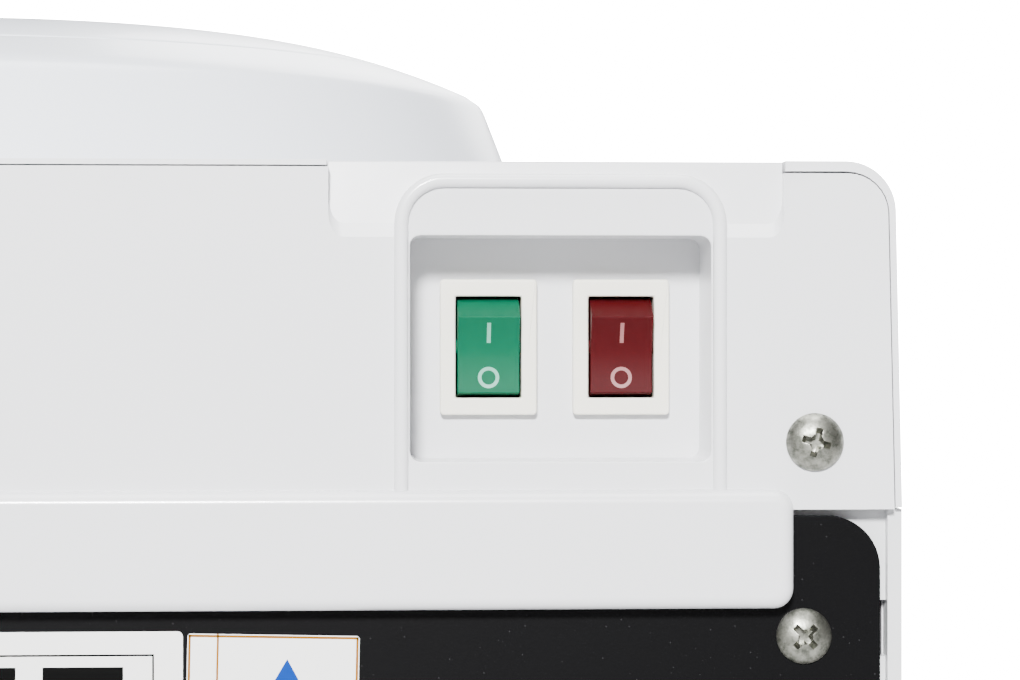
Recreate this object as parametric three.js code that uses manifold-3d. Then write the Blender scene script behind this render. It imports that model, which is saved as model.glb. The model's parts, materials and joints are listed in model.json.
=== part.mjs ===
// Countertop hot and cold water dispenser, top loading, with thermoelectric cooling.
// Millimetres. +Z is up, the taps face -Y, and the rocker switches are in the rear cover at +Y.
// The origin is on the table, under the middle of the overall box.

import * as THREE from 'three';
import { mergeVertices } from 'three/addons/utils/BufferGeometryUtils.js';
import Module from 'manifold-3d';

const wasm = await Module();
wasm.setup();

// ---------- driving dimensions ----------

const GAP = 0.3; // air between pieces that rest on each other
const WALL = 2.5; // moulded walls
const SHEET = 2.2; // steel side panels
const BODY_W = 310;
const BODY_D = 300; // from the rear face to the front of the tray shelf, less the bulge
const BODY_H = 400; // to the flat top
const REAR_BULGE = 3; // how far the moulded bar stands proud of the rear face
const SHELF = 30; // how far the tray shelf stands in front of the front panel
const FOOT_H = 12;
const FOOT_R = 11;
const BASE_TOP = 62;
const HEAD_H = 52.5; // height of the upper housing
const EDGE_R = 7.5; // round upper edges of the housing
const CORNER_R = 12; // upright front corners
const RETURN = CORNER_R + 2; // how far the front panel turns back along each side

// bottle seat and its collar
const COLLAR_BASE_R = 105.5;
const COLLAR_TOP_R = 98.8;
const COLLAR_RIM_H = 19.4;
const CROWN_H = 32;
const CREST_R = 45;
const SEAM_R = 84;
const NECK_R = 29.5; // well for the neck of the bottle
const GUIDE_R = 8;
const GUIDE_H = 72;

// cold side
const TANK_R = 55;
const TANK_H = 110;
const TANK_WALL = 2;
const INSULATION = 12;
const RIM_H = 1.8;
const PELTIER = 40;
const PELTIER_T = 4;
const SINK_W = 84;
const SINK_H = 95;
const SINK_D = 31;
const FAN = 80;
const FAN_T = 18;

// hot side
const HOT_R = 45;
const HOT_H = 110;
const HOT_X = -70;
const HOT_Y = 40;
const HOT_Z = 90;

// front
const ALCOVE_W = 176;
const ALCOVE_TOP = 295;
const TAP_X = 42;
const TAP_Z = 235;
const TRAY_W = 160;
const LENS_PITCH = 24;
const LENS_R = 3;

// rear cover and switches, measured inwards from the side and down from the top
const COVER_T = 4;
const COVER_INSET = 1.4; // side edge of the cover to the side of the body
const COVER_H = 52.7;
const BAR_H = 16.3;
const BAR_INSET = 16.4;
const NOTCH_NEAR = 17.6;
const NOTCH_FAR = 86.3;
const NOTCH_H = 10;
const NOTCH_DEPTH = 2.2;
const RECESS_NEAR = 28.7;
const RECESS_W = 45.4;
const RECESS_TOP = 11.4;
const RECESS_H = 34;
const RECESS_DEPTH = 15;
const BEAD = 2.2; // width of the arched bead
const BEAD_RISE = 1.2;
const HOOD_DROP = 2.1; // flat top of the body down to the top of the bead
const HOOD_R = 5.3;
const SWITCH_W = 15;
const SWITCH_H = 21;
const SWITCH_PITCH = 20.6;
const SWITCH_FLANGE = 1.7;
const KEY_W = 10.2; // opening for the rocker
const KEY_H = 15.7;
const ROCKER_TILT = 12; // degrees either side of level
const RIDGE_OUT = 5.8; // the rocker's ridges, outwards from its pivot
const HOLLOW_OUT = 4.3; // the hollow between them
const SHOULDER_OUT = 2.9;
const SCREW_R = 4.3;
const SHANK_R = 1.9;

// ---------- levels and planes worked out from them ----------

const HALF_W = BODY_W / 2;
const REAR_Y = BODY_D / 2;
const NOSE_Y = -(REAR_Y + REAR_BULGE);
const FRONT_Y = -REAR_Y + SHELF;
const PAN_Z = FOOT_H + GAP;
const HEAD_Z = BODY_H - HEAD_H;
const COLLAR_Z = BODY_H + GAP;
const CROWN_Z = BODY_H + CROWN_H;
const RIM_Z = BODY_H + COLLAR_RIM_H;
const ALCOVE_Y = -(TANK_R + INSULATION + 5);
const PLATE_Y = REAR_Y - COVER_T - 0.2; // front of the black back plate
const PLATE_T = 2;
const TANK_TOP = BODY_H - 28;
const TANK_Z = TANK_TOP - TANK_H;
const FAN_Z = TANK_Z - 12;
const SWITCH_Y = REAR_Y - RECESS_DEPTH; // floor of the switch recess
const RECESS_MID_X = -HALF_W + RECESS_NEAR + RECESS_W / 2;
const RECESS_MID_Z = BODY_H - RECESS_TOP - RECESS_H / 2;
const SIDE_IN = HALF_W - SHEET;

// ---------- materials ----------

function finish(color, roughness, metalness = 0) {
  return new THREE.MeshStandardMaterial({ color, roughness, metalness });
}
const WHITE = finish(0xeeeeef, 0.28);
const DOME_WHITE = finish(0xf2f4f6, 0.24);
const PAINTED = finish(0xececec, 0.4);
const BLACK = finish(0x1e1e1f, 0.5, 0.2);
const GREY = finish(0x9a9c9e, 0.5);
const IVORY = finish(0xecece4, 0.35);
const GREEN = finish(0x14c39b, 0.35);
const RED = finish(0x96373a, 0.35);
const BLUE = finish(0x2a63b8, 0.35);
const STEEL = finish(0xc4c6c8, 0.3, 1);
const ZINC = finish(0xb4b3ab, 0.4, 1);
const ALUMINIUM = finish(0xb9bbbd, 0.4, 1);
const FOAM = finish(0xd9d6cf, 0.9);
const SILICONE = finish(0xd8dadb, 0.5);
const RUBBER = finish(0x222222, 0.8);
const BOARD = finish(0x2d6a3f, 0.6);
const CERAMIC = finish(0xe6e3dc, 0.6);
const DARK_PLASTIC = finish(0x2b2b2d, 0.5);

// ---------- making and joining solids ----------

// A closed three.js geometry as a solid: shared corners merged, flat slivers dropped, faces out.
function solid(geometry) {
  geometry.deleteAttribute('normal');
  geometry.deleteAttribute('uv');
  const merged = mergeVertices(geometry, 1e-4);
  const corners = merged.attributes.position.array;
  const index = merged.index.array;
  const triangles = [];
  let volume = 0;
  const corner = (i) => new THREE.Vector3().fromArray(corners, 3 * i);
  for (let i = 0; i < index.length; i += 3) {
    const [a, b, c] = [index[i], index[i + 1], index[i + 2]];
    if (a === b || b === c || c === a) continue;
    triangles.push(a, b, c);
    volume += corner(a).dot(corner(b).cross(corner(c)));
  }
  if (volume < 0) triangles.reverse();
  return new wasm.Manifold(new wasm.Mesh({
    numProp: 3,
    vertProperties: new Float32Array(corners),
    triVerts: new Uint32Array(triangles),
  }));
}

const join = (...parts) => parts.reduce((all, part) => all.add(part));
const cut = (body, ...tools) => tools.reduce((left, tool) => left.subtract(tool), body);

function box([x0, x1], [y0, y1], [z0, z1]) {
  const block = new THREE.BoxGeometry(x1 - x0, y1 - y0, z1 - z0);
  block.translate((x0 + x1) / 2, (y0 + y1) / 2, (z0 + z1) / 2);
  return solid(block);
}

// Extrusion of an outline: along z it is drawn in x and y, along y in x and z, along x in y and z.
function slab(shape, along, [from, to], curveSegments = 2) {
  const block = new THREE.ExtrudeGeometry(shape, { depth: to - from, bevelEnabled: false, curveSegments });
  const [X, Y, Z] = [new THREE.Vector3(1, 0, 0), new THREE.Vector3(0, 1, 0), new THREE.Vector3(0, 0, 1)];
  const turn = new THREE.Matrix4();
  if (along === 'x') turn.makeBasis(Y, Z, X);
  if (along === 'y') turn.makeBasis(X, Z, Y.clone().negate());
  block.applyMatrix4(turn);
  block.translate(along === 'x' ? from : 0, along === 'y' ? to : 0, along === 'z' ? from : 0);
  return solid(block);
}

// Round bar of radius r along one axis; at gives the two other coordinates in x, y, z order.
function rod(along, at, r, [from, to], sides = 16) {
  const bar = new THREE.CylinderGeometry(r, r, to - from, sides);
  const middle = (from + to) / 2;
  if (along === 'x') bar.rotateZ(Math.PI / 2).translate(middle, at[0], at[1]);
  if (along === 'y') bar.translate(at[0], middle, at[1]);
  if (along === 'z') bar.rotateX(Math.PI / 2).translate(at[0], at[1], middle);
  return solid(bar);
}

// Solid of revolution about an upright axis; the profile is closed, in radius and height.
function turned(profile, sides = 32, at = [0, 0]) {
  const points = profile.map(([r, z]) => new THREE.Vector2(r, z));
  if (profile[0][0] > 0 || profile[profile.length - 1][0] > 0) points.push(points[0].clone());
  const shape = new THREE.LatheGeometry(points, sides);
  shape.rotateX(Math.PI / 2).translate(at[0], at[1], 0);
  return solid(shape);
}

// Hose or pipe along a smooth curve through the points.
function hose(points, r, steps = 12) {
  const path = new THREE.CatmullRomCurve3(points.map((p) => new THREE.Vector3(...p)));
  const section = new THREE.Shape().absarc(0, 0, r, 0, 2 * Math.PI);
  return solid(new THREE.ExtrudeGeometry(section, { steps, extrudePath: path, curveSegments: 4 }));
}

// Rectangle with its own radius at each corner: lower left, lower right, upper right, upper left.
function plate([u0, u1], [v0, v1], radii = [0, 0, 0, 0]) {
  const [a, b, c, d] = radii;
  const shape = new THREE.Shape();
  const arc = (u, v, r, start) => {
    if (r > 0) shape.absarc(u, v, r, start, start + Math.PI / 2);
    else shape.lineTo(u, v);
  };
  shape.moveTo(u0 + a, v0);
  arc(u1 - b, v0 + b, b, -Math.PI / 2);
  arc(u1 - c, v1 - c, c, 0);
  arc(u0 + d, v1 - d, d, Math.PI / 2);
  arc(u0 + a, v0 + a, a, Math.PI);
  shape.closePath();
  return shape;
}

const span = (middle, size) => [middle - size / 2, middle + size / 2];
const both = [-1, 1];
const sideName = (side) => (side < 0 ? 'left' : 'right');
const lerp = (a, b, t) => a + (b - a) * t;

const group = new THREE.Group();

function piece(name, body, material) {
  const { vertProperties, triVerts } = body.getMesh();
  const geometry = new THREE.BufferGeometry();
  geometry.setAttribute('position', new THREE.BufferAttribute(vertProperties, 3));
  geometry.setIndex(new THREE.BufferAttribute(triVerts, 1));
  const mesh = new THREE.Mesh(geometry, material);
  mesh.name = name;
  group.add(mesh);
}

// ---------- base ----------

const BAY_W = TRAY_W + 2; // opening that the drip tray slides in
const BAY_Y = ALCOVE_Y + 1;
const BAY_Z = PAN_Z + 11.7;
const DRAIN_X = HOT_X - 25;
const DRAIN_Z = BASE_TOP - 4;
const GLAND_X = 100;
const PAN_HALF = SIDE_IN - GAP;
const FOOT_X = HALF_W - 35;
const FOOT_Y = REAR_Y - 35;
const FLANGE = 20; // rear flange of each side panel, which the back plate screws to
const FLANGE_Y = PLATE_Y - GAP;
const PAN_REAR = FLANGE_Y - SHEET - GAP;

function basePan() {
  const front = [25, 25, 0, 0];
  const outer = slab(plate([-PAN_HALF, PAN_HALF], [NOSE_Y, PAN_REAR], front), 'z', [PAN_Z, BASE_TOP]);
  const bay = box(span(0, BAY_W), [NOSE_Y - 5, BAY_Y], [BAY_Z, BASE_TOP + 5]);
  const bayWalls = box(span(0, BAY_W + 2 * WALL), [NOSE_Y - 5, BAY_Y + WALL], [BAY_Z - WALL, BASE_TOP + 5]);
  const x = [-PAN_HALF + WALL, PAN_HALF - WALL];
  const rear = box(x, [BAY_Y + WALL, PAN_REAR - WALL], [PAN_Z + WALL, BASE_TOP + 5]);
  const under = slab(plate(x, [NOSE_Y + WALL, BAY_Y], [23, 23, 0, 0]), 'z', [PAN_Z - 5, BASE_TOP - WALL]);
  const saddleZ = [DRAIN_Z - 14, BASE_TOP + 5];
  const saddles = [DRAIN_X, GLAND_X].map((at) => box(span(at, 28), [PAN_REAR - 10, PAN_REAR + 5], saddleZ));
  const pads = both.map((s) => rod('z', [s * FOOT_X, -FOOT_Y], FOOT_R + 2, [PAN_Z, BASE_TOP - 1], 20));
  return join(cut(outer, bay, rear, cut(under, bayWalls), ...saddles), ...pads);
}
piece('base_pan', basePan(), GREY);

for (const side of both) {
  for (const end of both) {
    const at = [side * FOOT_X, end * FOOT_Y];
    const profile = [[0, 0], [FOOT_R - 1.5, 0], [FOOT_R, 1.5], [FOOT_R - 1, FOOT_H], [0, FOOT_H]];
    piece(`foot_${end < 0 ? 'front' : 'rear'}_${sideName(side)}`, turned(profile, 20, at), RUBBER);
  }
}

// ---------- side panels ----------

const PLATE_SCREW_X = HALF_W - 14.9;
const PLATE_SCREW_Z = [60, HEAD_Z - 19.2];

function sidePanel(side) {
  const x = (inset) => side * (HALF_W - inset);
  const range = (a, b) => [Math.min(x(a), x(b)), Math.max(x(a), x(b))];
  const z = [PAN_Z + 1.7, HEAD_Z - GAP];
  const web = box(range(0, SHEET), [FRONT_Y + RETURN + GAP, REAR_Y - 2.5], z);
  const flange = box(range(0, SHEET + FLANGE), [FLANGE_Y - SHEET, FLANGE_Y], z);
  const through = [FLANGE_Y - 5, FLANGE_Y + 5];
  const holes = PLATE_SCREW_Z.map((h) => rod('y', [side * PLATE_SCREW_X, h], SHANK_R + GAP, through, 12));
  const vents = [];
  for (let i = 0; i < 8; i += 1) {
    const y = REAR_Y - 40 - i * 11;
    vents.push(box(range(-5, SHEET + 5), span(y, 4), [BASE_TOP + 30, BASE_TOP + 85]));
  }
  return cut(join(web, flange), ...holes, ...vents);
}
for (const side of both) piece(`side_panel_${sideName(side)}`, sidePanel(side), PAINTED);

// ---------- front panel with the alcove for the glass ----------

const PANEL_Z = [BASE_TOP + GAP, HEAD_Z - GAP];
const LENS_Z = (ALCOVE_TOP + HEAD_Z) / 2;
const BARREL_R = 9;

function frontPanel() {
  const round = [CORNER_R, CORNER_R, 0, 0];
  const inner = [CORNER_R - WALL, CORNER_R - WALL, 0, 0];
  const skin = slab(plate([-HALF_W, HALF_W], [FRONT_Y, FRONT_Y + RETURN], round), 'z', PANEL_Z);
  const behind = plate([-HALF_W + WALL, HALF_W - WALL], [FRONT_Y + WALL, FRONT_Y + RETURN + 10], inner);
  const hollow = slab(behind, 'z', [0, BODY_H]);
  const mouth = plate(span(0, ALCOVE_W), [BASE_TOP - 5, ALCOVE_TOP], [0, 0, 18, 18]);
  const shell = plate(span(0, ALCOVE_W + 2 * WALL), [PANEL_Z[0], ALCOVE_TOP + WALL], [0, 0, 20.5, 20.5]);
  const alcove = slab(shell, 'y', [FRONT_Y + 1, ALCOVE_Y + WALL]);
  const throughBack = [ALCOVE_Y - 5, ALCOVE_Y + 5];
  const throughFront = [FRONT_Y - 5, FRONT_Y + 5];
  const tapHoles = both.map((s) => rod('y', [s * TAP_X, TAP_Z], BARREL_R + GAP, throughBack));
  const lensHoles = [-1, 0, 1].map((i) => rod('y', [i * LENS_PITCH, LENS_Z], LENS_R + GAP, throughFront, 16));
  const panel = join(cut(skin, hollow), alcove);
  return cut(panel, slab(mouth, 'y', [FRONT_Y - 5, ALCOVE_Y]), ...tapHoles, ...lensHoles);
}
piece('front_panel', frontPanel(), WHITE);

// indicator lenses
const LENSES = { power: finish(0xd8a020, 0.2), heating: RED, cooling: GREEN };
Object.keys(LENSES).forEach((use, i) => {
  const at = [(i - 1) * LENS_PITCH, LENS_Z];
  const dome = rod('y', at, LENS_R, [FRONT_Y - 1.2, FRONT_Y + WALL + 1], 16);
  const collar = rod('y', at, LENS_R + 1.2, [FRONT_Y + WALL + GAP, FRONT_Y + WALL + 2], 16);
  piece(`${use}_lens`, join(dome, collar), LENSES[use]);
});

// ---------- upper housing ----------

const BOSS_X = HALF_W - 13;
const BOSS_Z = BODY_H - 42.5;
const BOSS_R = 5;
const HEAD_REAR = REAR_Y - COVER_T - GAP;

function topCover() {
  const r = EDGE_R;
  const front = plate([-HALF_W, HALF_W], [HEAD_Z, BODY_H], [0, 0, r, r]);
  const plan = plate([-HALF_W, HALF_W], [FRONT_Y, HEAD_REAR], [CORNER_R, CORNER_R, 0, 0]);
  const innerR = r - WALL;
  const inFront = plate([-HALF_W + WALL, HALF_W - WALL], [HEAD_Z - 5, BODY_H - WALL], [0, 0, innerR, innerR]);
  const n = CORNER_R - WALL;
  const inPlan = plate([-HALF_W + WALL, HALF_W - WALL], [FRONT_Y + WALL, REAR_Y + 5], [n, n, 0, 0]);
  const outside = slab(front, 'y', [FRONT_Y, HEAD_REAR]).intersect(slab(plan, 'z', [HEAD_Z, BODY_H]));
  const inside = slab(inFront, 'y', [FRONT_Y, REAR_Y + 5]).intersect(slab(inPlan, 'z', [0, BODY_H]));
  const mouth = rod('z', [0, 0], SEAM_R + 4, [HEAD_Z, BODY_H + 5], 36);
  const bosses = both.map((s) => join(
    rod('y', [s * BOSS_X, BOSS_Z], BOSS_R, [HEAD_REAR - 20, HEAD_REAR], 16),
    box([Math.min(s * BOSS_X, s * (HALF_W - 1)), Math.max(s * BOSS_X, s * (HALF_W - 1))],
      [HEAD_REAR - 20, HEAD_REAR], span(BOSS_Z, 2)),
  ));
  const bores = both.map((s) => rod('y', [s * BOSS_X, BOSS_Z], SHANK_R + GAP, [HEAD_REAR - 15, REAR_Y], 12));
  return cut(join(cut(outside, inside, mouth), ...bosses), ...bores);
}
piece('top_cover', topCover(), WHITE);

// ---------- rear cover: notch, arched bead, switch recess and moulded bar ----------

const BAR_HALF = HALF_W - BAR_INSET;
const COVER_Z = BODY_H - COVER_H;
const BAR_TOP = COVER_Z + 1.5;

function rearCover() {
  const edge = HALF_W - COVER_INSET;
  const r = EDGE_R - 1;
  const outline = plate([-edge, edge], [COVER_Z, BODY_H - GAP], [0, 0, r, r]);
  const skin = slab(outline, 'y', [REAR_Y - COVER_T, REAR_Y]);
  const notch = slab(
    plate([-HALF_W + NOTCH_NEAR, -HALF_W + NOTCH_FAR], [BODY_H - NOTCH_H, BODY_H + 5], [3, 3, 0, 0]),
    'y', [REAR_Y - NOTCH_DEPTH, REAR_Y + 5],
  );
  const arch = (grow, top, foot) => {
    const corner = HOOD_R + grow;
    return plate(span(RECESS_MID_X, RECESS_W + 2 * grow), [foot, BODY_H - top], [0, 0, corner, corner]);
  };
  const foot = BAR_TOP + 1;
  const hood = slab(arch(BEAD, HOOD_DROP, foot), 'y', [REAR_Y - COVER_T, REAR_Y - 0.5]);
  const bead = slab(arch(BEAD, HOOD_DROP, foot), 'y', [REAR_Y - 1, REAR_Y + BEAD_RISE]);
  const inBead = slab(arch(0, HOOD_DROP + BEAD, foot - 5), 'y', [REAR_Y - 1, REAR_Y + 5]);
  const well = (grow) => [span(RECESS_MID_X, RECESS_W + 2 * grow), span(RECESS_MID_Z, RECESS_H + 2 * grow)];
  const [outX, outZ] = well(2);
  const [inX, inZ] = well(0);
  const pocket = box(outX, [SWITCH_Y - 2, REAR_Y - 1], outZ);
  const recess = box(inX, [SWITCH_Y, REAR_Y + 5], inZ);
  const throughFloor = [SWITCH_Y - 5, SWITCH_Y + 5];
  const holes = both.map((s) => {
    const x = RECESS_MID_X + s * SWITCH_PITCH / 2;
    return box(span(x, SWITCH_W - 1.8), throughFloor, span(RECESS_MID_Z, SWITCH_H - 1.8));
  });
  const bar = slab(plate([-BAR_HALF, BAR_HALF], [BAR_TOP - BAR_H, BAR_TOP], [3, 3, 3, 3]), 'y',
    [PLATE_Y + PLATE_T + GAP, REAR_Y + REAR_BULGE]);
  const throughSkin = [REAR_Y - 10, REAR_Y + 5];
  const screwHoles = both.map((s) => rod('y', [s * BOSS_X, BOSS_Z], SHANK_R + GAP, throughSkin, 12));
  const body = join(cut(skin, notch), hood, cut(bead, inBead), pocket, bar);
  return cut(body, recess, ...holes, ...screwHoles);
}
piece('rear_cover', rearCover(), WHITE);

// Each switch is a bezel with its body and terminals, and a rocker that rests with its foot in.
const DRUM_R = KEY_H / 2 - 0.9;
const ROCKER_W = KEY_W - 0.4;
const ROCKER_Y = SWITCH_Y - 2;

function switchBezel(x) {
  const z = RECESS_MID_Z;
  const flange = box(span(x, SWITCH_W), [SWITCH_Y + GAP, SWITCH_Y + GAP + SWITCH_FLANGE], span(z, SWITCH_H));
  const body = box(span(x, SWITCH_W - 2.4), [SWITCH_Y - 17, SWITCH_Y + 1], span(z, SWITCH_H - 2.4));
  const blades = both.map((s) => box(span(x, 4.8), [SWITCH_Y - 25, SWITCH_Y - 16], span(z + s * 4, 0.8)));
  const key = box(span(x, KEY_W), [SWITCH_Y - 13, SWITCH_Y + 5], span(z, KEY_H));
  return cut(join(flange, body, ...blades), key);
}

function rocker(x) {
  const outline = new THREE.Shape();
  const shoulder = DRUM_R + 0.1;
  const ridge = DRUM_R - 0.9;
  outline.moveTo(SHOULDER_OUT, -shoulder);
  outline.lineTo(RIDGE_OUT, -ridge);
  outline.lineTo(HOLLOW_OUT, 0);
  outline.lineTo(RIDGE_OUT, ridge);
  outline.lineTo(SHOULDER_OUT, shoulder);
  outline.lineTo(0, DRUM_R);
  outline.absarc(0, 0, DRUM_R, Math.PI / 2, 3 * Math.PI / 2);
  outline.closePath();
  const key = new THREE.ExtrudeGeometry(outline, { depth: ROCKER_W, bevelEnabled: false, curveSegments: 5 });
  const [X, Y, Z] = [new THREE.Vector3(1, 0, 0), new THREE.Vector3(0, 1, 0), new THREE.Vector3(0, 0, 1)];
  key.applyMatrix4(new THREE.Matrix4().makeBasis(Y, Z, X));
  key.rotateX(THREE.MathUtils.degToRad(-ROCKER_TILT));
  key.translate(x - ROCKER_W / 2, ROCKER_Y, RECESS_MID_Z);
  return solid(key);
}
const SWITCHES = { cooling: [1, GREEN], heating: [-1, RED] };
for (const [use, [side, colour]] of Object.entries(SWITCHES)) {
  const x = RECESS_MID_X + side * SWITCH_PITCH / 2;
  piece(`${use}_switch_bezel`, switchBezel(x), IVORY);
  piece(`${use}_rocker`, rocker(x), colour);
}

// ---------- back plate, screws, drain and cord gland ----------

const PLATE_CORNER = 8;

function backPlate() {
  const edge = HALF_W - 3.2;
  const corners = [PLATE_CORNER, PLATE_CORNER, PLATE_CORNER, PLATE_CORNER];
  const outline = plate([-edge, edge], [40, HEAD_Z - 1.3], corners);
  const sheet = slab(outline, 'y', [PLATE_Y, PLATE_Y + PLATE_T]);
  const through = [PLATE_Y - 5, PLATE_Y + 5];
  const holes = [];
  for (const s of both) {
    for (const h of PLATE_SCREW_Z) holes.push(rod('y', [s * PLATE_SCREW_X, h], SHANK_R + GAP, through, 12));
  }
  for (let i = 0; i < 10; i += 1) holes.push(box(span(0, 66), through, span(FAN_Z - 31.5 + i * 7, 3.5)));
  for (let i = 0; i < 6; i += 1) holes.push(box(span(0, 110), through, span(96 + i * 8, 4)));
  holes.push(rod('y', [DRAIN_X, DRAIN_Z], 8 + GAP, through, 20));
  holes.push(rod('y', [GLAND_X, DRAIN_Z], 7, through, 20));
  return cut(sheet, ...holes);
}
piece('back_plate', backPlate(), BLACK);

// Truss head screw pointing along -Y, with a crossed drive recess.
function screw([x, z], seat, length, r) {
  const head = [[0, 2.3], [r * 0.45, 2.1], [r * 0.8, 1.4], [r, 0.4], [r, 0]];
  const profile = [...head, [SHANK_R, 0], [SHANK_R, -length], [0, -length]];
  const shape = new THREE.LatheGeometry(profile.map(([u, v]) => new THREE.Vector2(u, v)), 14);
  const drive = join(box(span(0, 0.9), [1.2, 5], span(0, 4)), box(span(0, 4), [1.2, 5], span(0, 0.9)));
  return cut(solid(shape), drive).translate([x, seat + GAP, z]);
}
for (const side of both) {
  piece(`cover_screw_${sideName(side)}`, screw([side * BOSS_X, BOSS_Z], REAR_Y, 12, SCREW_R), ZINC);
  const upper = screw([side * PLATE_SCREW_X, PLATE_SCREW_Z[1]], PLATE_Y + PLATE_T, 8, SCREW_R - 0.2);
  piece(`plate_screw_${sideName(side)}`, upper, ZINC);
}

const PLATE_BACK = PLATE_Y + PLATE_T;
const fitting = join(
  rod('y', [DRAIN_X, DRAIN_Z], 8, [PLATE_Y - 12, PLATE_BACK + GAP], 20),
  rod('y', [DRAIN_X, DRAIN_Z], 12, [PLATE_Y - 3, PLATE_Y - GAP], 20),
);
const drainBore = rod('y', [DRAIN_X, DRAIN_Z], 5.5, [PLATE_Y - 20, REAR_Y + 5], 20);
piece('drain_fitting', cut(fitting, drainBore), DARK_PLASTIC);
const cap = join(
  rod('y', [DRAIN_X, DRAIN_Z], 11, [PLATE_BACK + 2 * GAP, REAR_Y + REAR_BULGE - 0.2], 12),
  rod('y', [DRAIN_X, DRAIN_Z], 5, [PLATE_Y - 8, PLATE_BACK + 1], 20),
);
piece('drain_cap', cap, DARK_PLASTIC);
const gland = join(
  rod('y', [GLAND_X, DRAIN_Z], 10, [PLATE_BACK + GAP, PLATE_BACK + 3], 20),
  rod('y', [GLAND_X, DRAIN_Z], 6.7, [PLATE_Y - 9, PLATE_BACK + 1], 20),
);
piece('cord_gland', cut(gland, rod('y', [GLAND_X, DRAIN_Z], 3.7, [PLATE_Y - 20, REAR_Y + 10], 16)), RUBBER);

// ---------- collar, bottle seat and water guide ----------

// Height of the domed crown at a radius: level inside the crest, then falling to the rim.
function crownZ(r) {
  const out = Math.max(r - CREST_R, 0) / (COLLAR_TOP_R - CREST_R);
  return CROWN_Z - (CROWN_Z - RIM_Z) * out ** 2;
}
function crownArc(from, to, n) {
  const radii = Array.from({ length: n + 1 }, (_, i) => lerp(from, to, i / n));
  return radii.map((r) => [r, crownZ(r)]);
}
const SKIRT = 7.7; // depth of the seat's rim in the collar
const SEAT_Z = crownZ(SEAM_R) - SKIRT;
const FLOOR_Z = TANK_TOP - 42;

function collarRing() {
  const flare = (COLLAR_BASE_R - COLLAR_TOP_R) / COLLAR_RIM_H;
  return turned([
    [COLLAR_BASE_R, COLLAR_Z],
    [COLLAR_TOP_R + 2 * flare, RIM_Z - 2],
    ...crownArc(COLLAR_TOP_R - 0.6, SEAM_R, 2),
    [SEAM_R, SEAT_Z - GAP],
    [SEAM_R - 4, SEAT_Z - GAP],
    [SEAM_R - 4, SEAT_Z - GAP - WALL],
    [COLLAR_TOP_R - WALL - 3, SEAT_Z - GAP - WALL],
    [COLLAR_BASE_R - WALL - 0.4, COLLAR_Z],
  ], 40);
}
piece('collar_ring', collarRing(), DOME_WHITE);

function bottleSeat() {
  const edge = SEAM_R - GAP;
  const under = crownArc(CREST_R, edge - WALL, 3).map(([r, z]) => [r, z - WALL]);
  const profile = [
    [edge - WALL, SEAT_Z],
    [edge, SEAT_Z],
    ...crownArc(edge, CREST_R, 3),
    [CREST_R - 5, CROWN_Z - 1.5],
    [NECK_R + 5, CROWN_Z - 8],
    [NECK_R + 2, BODY_H],
    [NECK_R, FLOOR_Z + WALL],
    [GUIDE_R + GAP, FLOOR_Z + WALL],
    [GUIDE_R + GAP, FLOOR_Z],
    [NECK_R + WALL - 1, FLOOR_Z],
    [NECK_R + WALL + 2, BODY_H],
    [NECK_R + WALL + 5, CROWN_Z - 10],
    ...under,
  ];
  const drains = both.map((s) => rod('z', [s * 19, 0], 4, [FLOOR_Z - 5, FLOOR_Z + 8], 12));
  return cut(turned(profile, 36), ...drains);
}
piece('bottle_seat', bottleSeat(), DOME_WHITE);

function waterGuide() {
  const foot = FLOOR_Z - GAP;
  const tip = FLOOR_Z + GUIDE_H;
  const tube = turned([
    [GUIDE_R - WALL, foot - 3], [GUIDE_R + 4, foot - 3], [GUIDE_R + 4, foot], [GUIDE_R, foot],
    [GUIDE_R, tip - 8], [GUIDE_R - 3, tip - 2], [0, tip], [0, tip - WALL], [GUIDE_R - WALL, tip - 10],
  ], 20);
  const window = box([-GUIDE_R - 5, GUIDE_R + 5], span(0, 6), [tip - 26, tip - 14]);
  return cut(tube, window);
}
piece('water_guide', waterGuide(), SILICONE);

// ---------- cold tank, its seal, insulation and shelf ----------

const SEAL_R = NECK_R + WALL + 2;
piece('seat_seal', turned([
  [SEAL_R + GAP, TANK_TOP + GAP],
  [TANK_R, TANK_TOP + GAP],
  [TANK_R, TANK_TOP + 4],
  [SEAL_R + GAP, TANK_TOP + 4],
], 28), SILICONE);

const COLD_PORTS = [[25, -25], [-25, 20]]; // to the cold tap, and to the hot tank
const PORT_R = 5;
const BLOCK = 30;
const BLOCK_Z = TANK_Z + 18;

function coldTank() {
  const inner = TANK_R - TANK_WALL;
  const cup = turned([
    [0, TANK_Z], [TANK_R, TANK_Z], [TANK_R, TANK_TOP - RIM_H], [TANK_R + 5, TANK_TOP - RIM_H],
    [TANK_R + 5, TANK_TOP], [inner, TANK_TOP], [inner, TANK_Z + TANK_WALL], [0, TANK_Z + TANK_WALL],
  ], 28);
  const ports = COLD_PORTS.map((at) => rod('z', at, PORT_R, [TANK_Z - 16, TANK_Z + 1], 16));
  const bores = COLD_PORTS.map((at) => rod('z', at, PORT_R - 1.5, [TANK_Z - 20, TANK_Z + 5], 16));
  return cut(join(cup, ...ports), ...bores);
}
piece('cold_tank', coldTank(), STEEL);

function tankInsulation() {
  const r = TANK_R + GAP;
  const outer = TANK_R + INSULATION;
  const cup = turned([
    [0, TANK_Z - INSULATION], [outer, TANK_Z - INSULATION], [outer, TANK_TOP - RIM_H - GAP],
    [r, TANK_TOP - RIM_H - GAP], [r, TANK_Z - GAP], [0, TANK_Z - GAP],
  ], 28);
  const ports = COLD_PORTS.map((at) => rod('z', at, PORT_R + GAP, [TANK_Z - 30, TANK_Z + 5], 16));
  const window = box(span(0, BLOCK + 2 * GAP), [20, outer + 5], span(BLOCK_Z, BLOCK + 2 * GAP));
  return cut(cup, ...ports, cut(window, rod('z', [0, 0], r - 0.1, [TANK_Z - 1, TANK_TOP], 28)));
}
piece('tank_insulation', tankInsulation(), FOAM);

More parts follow.
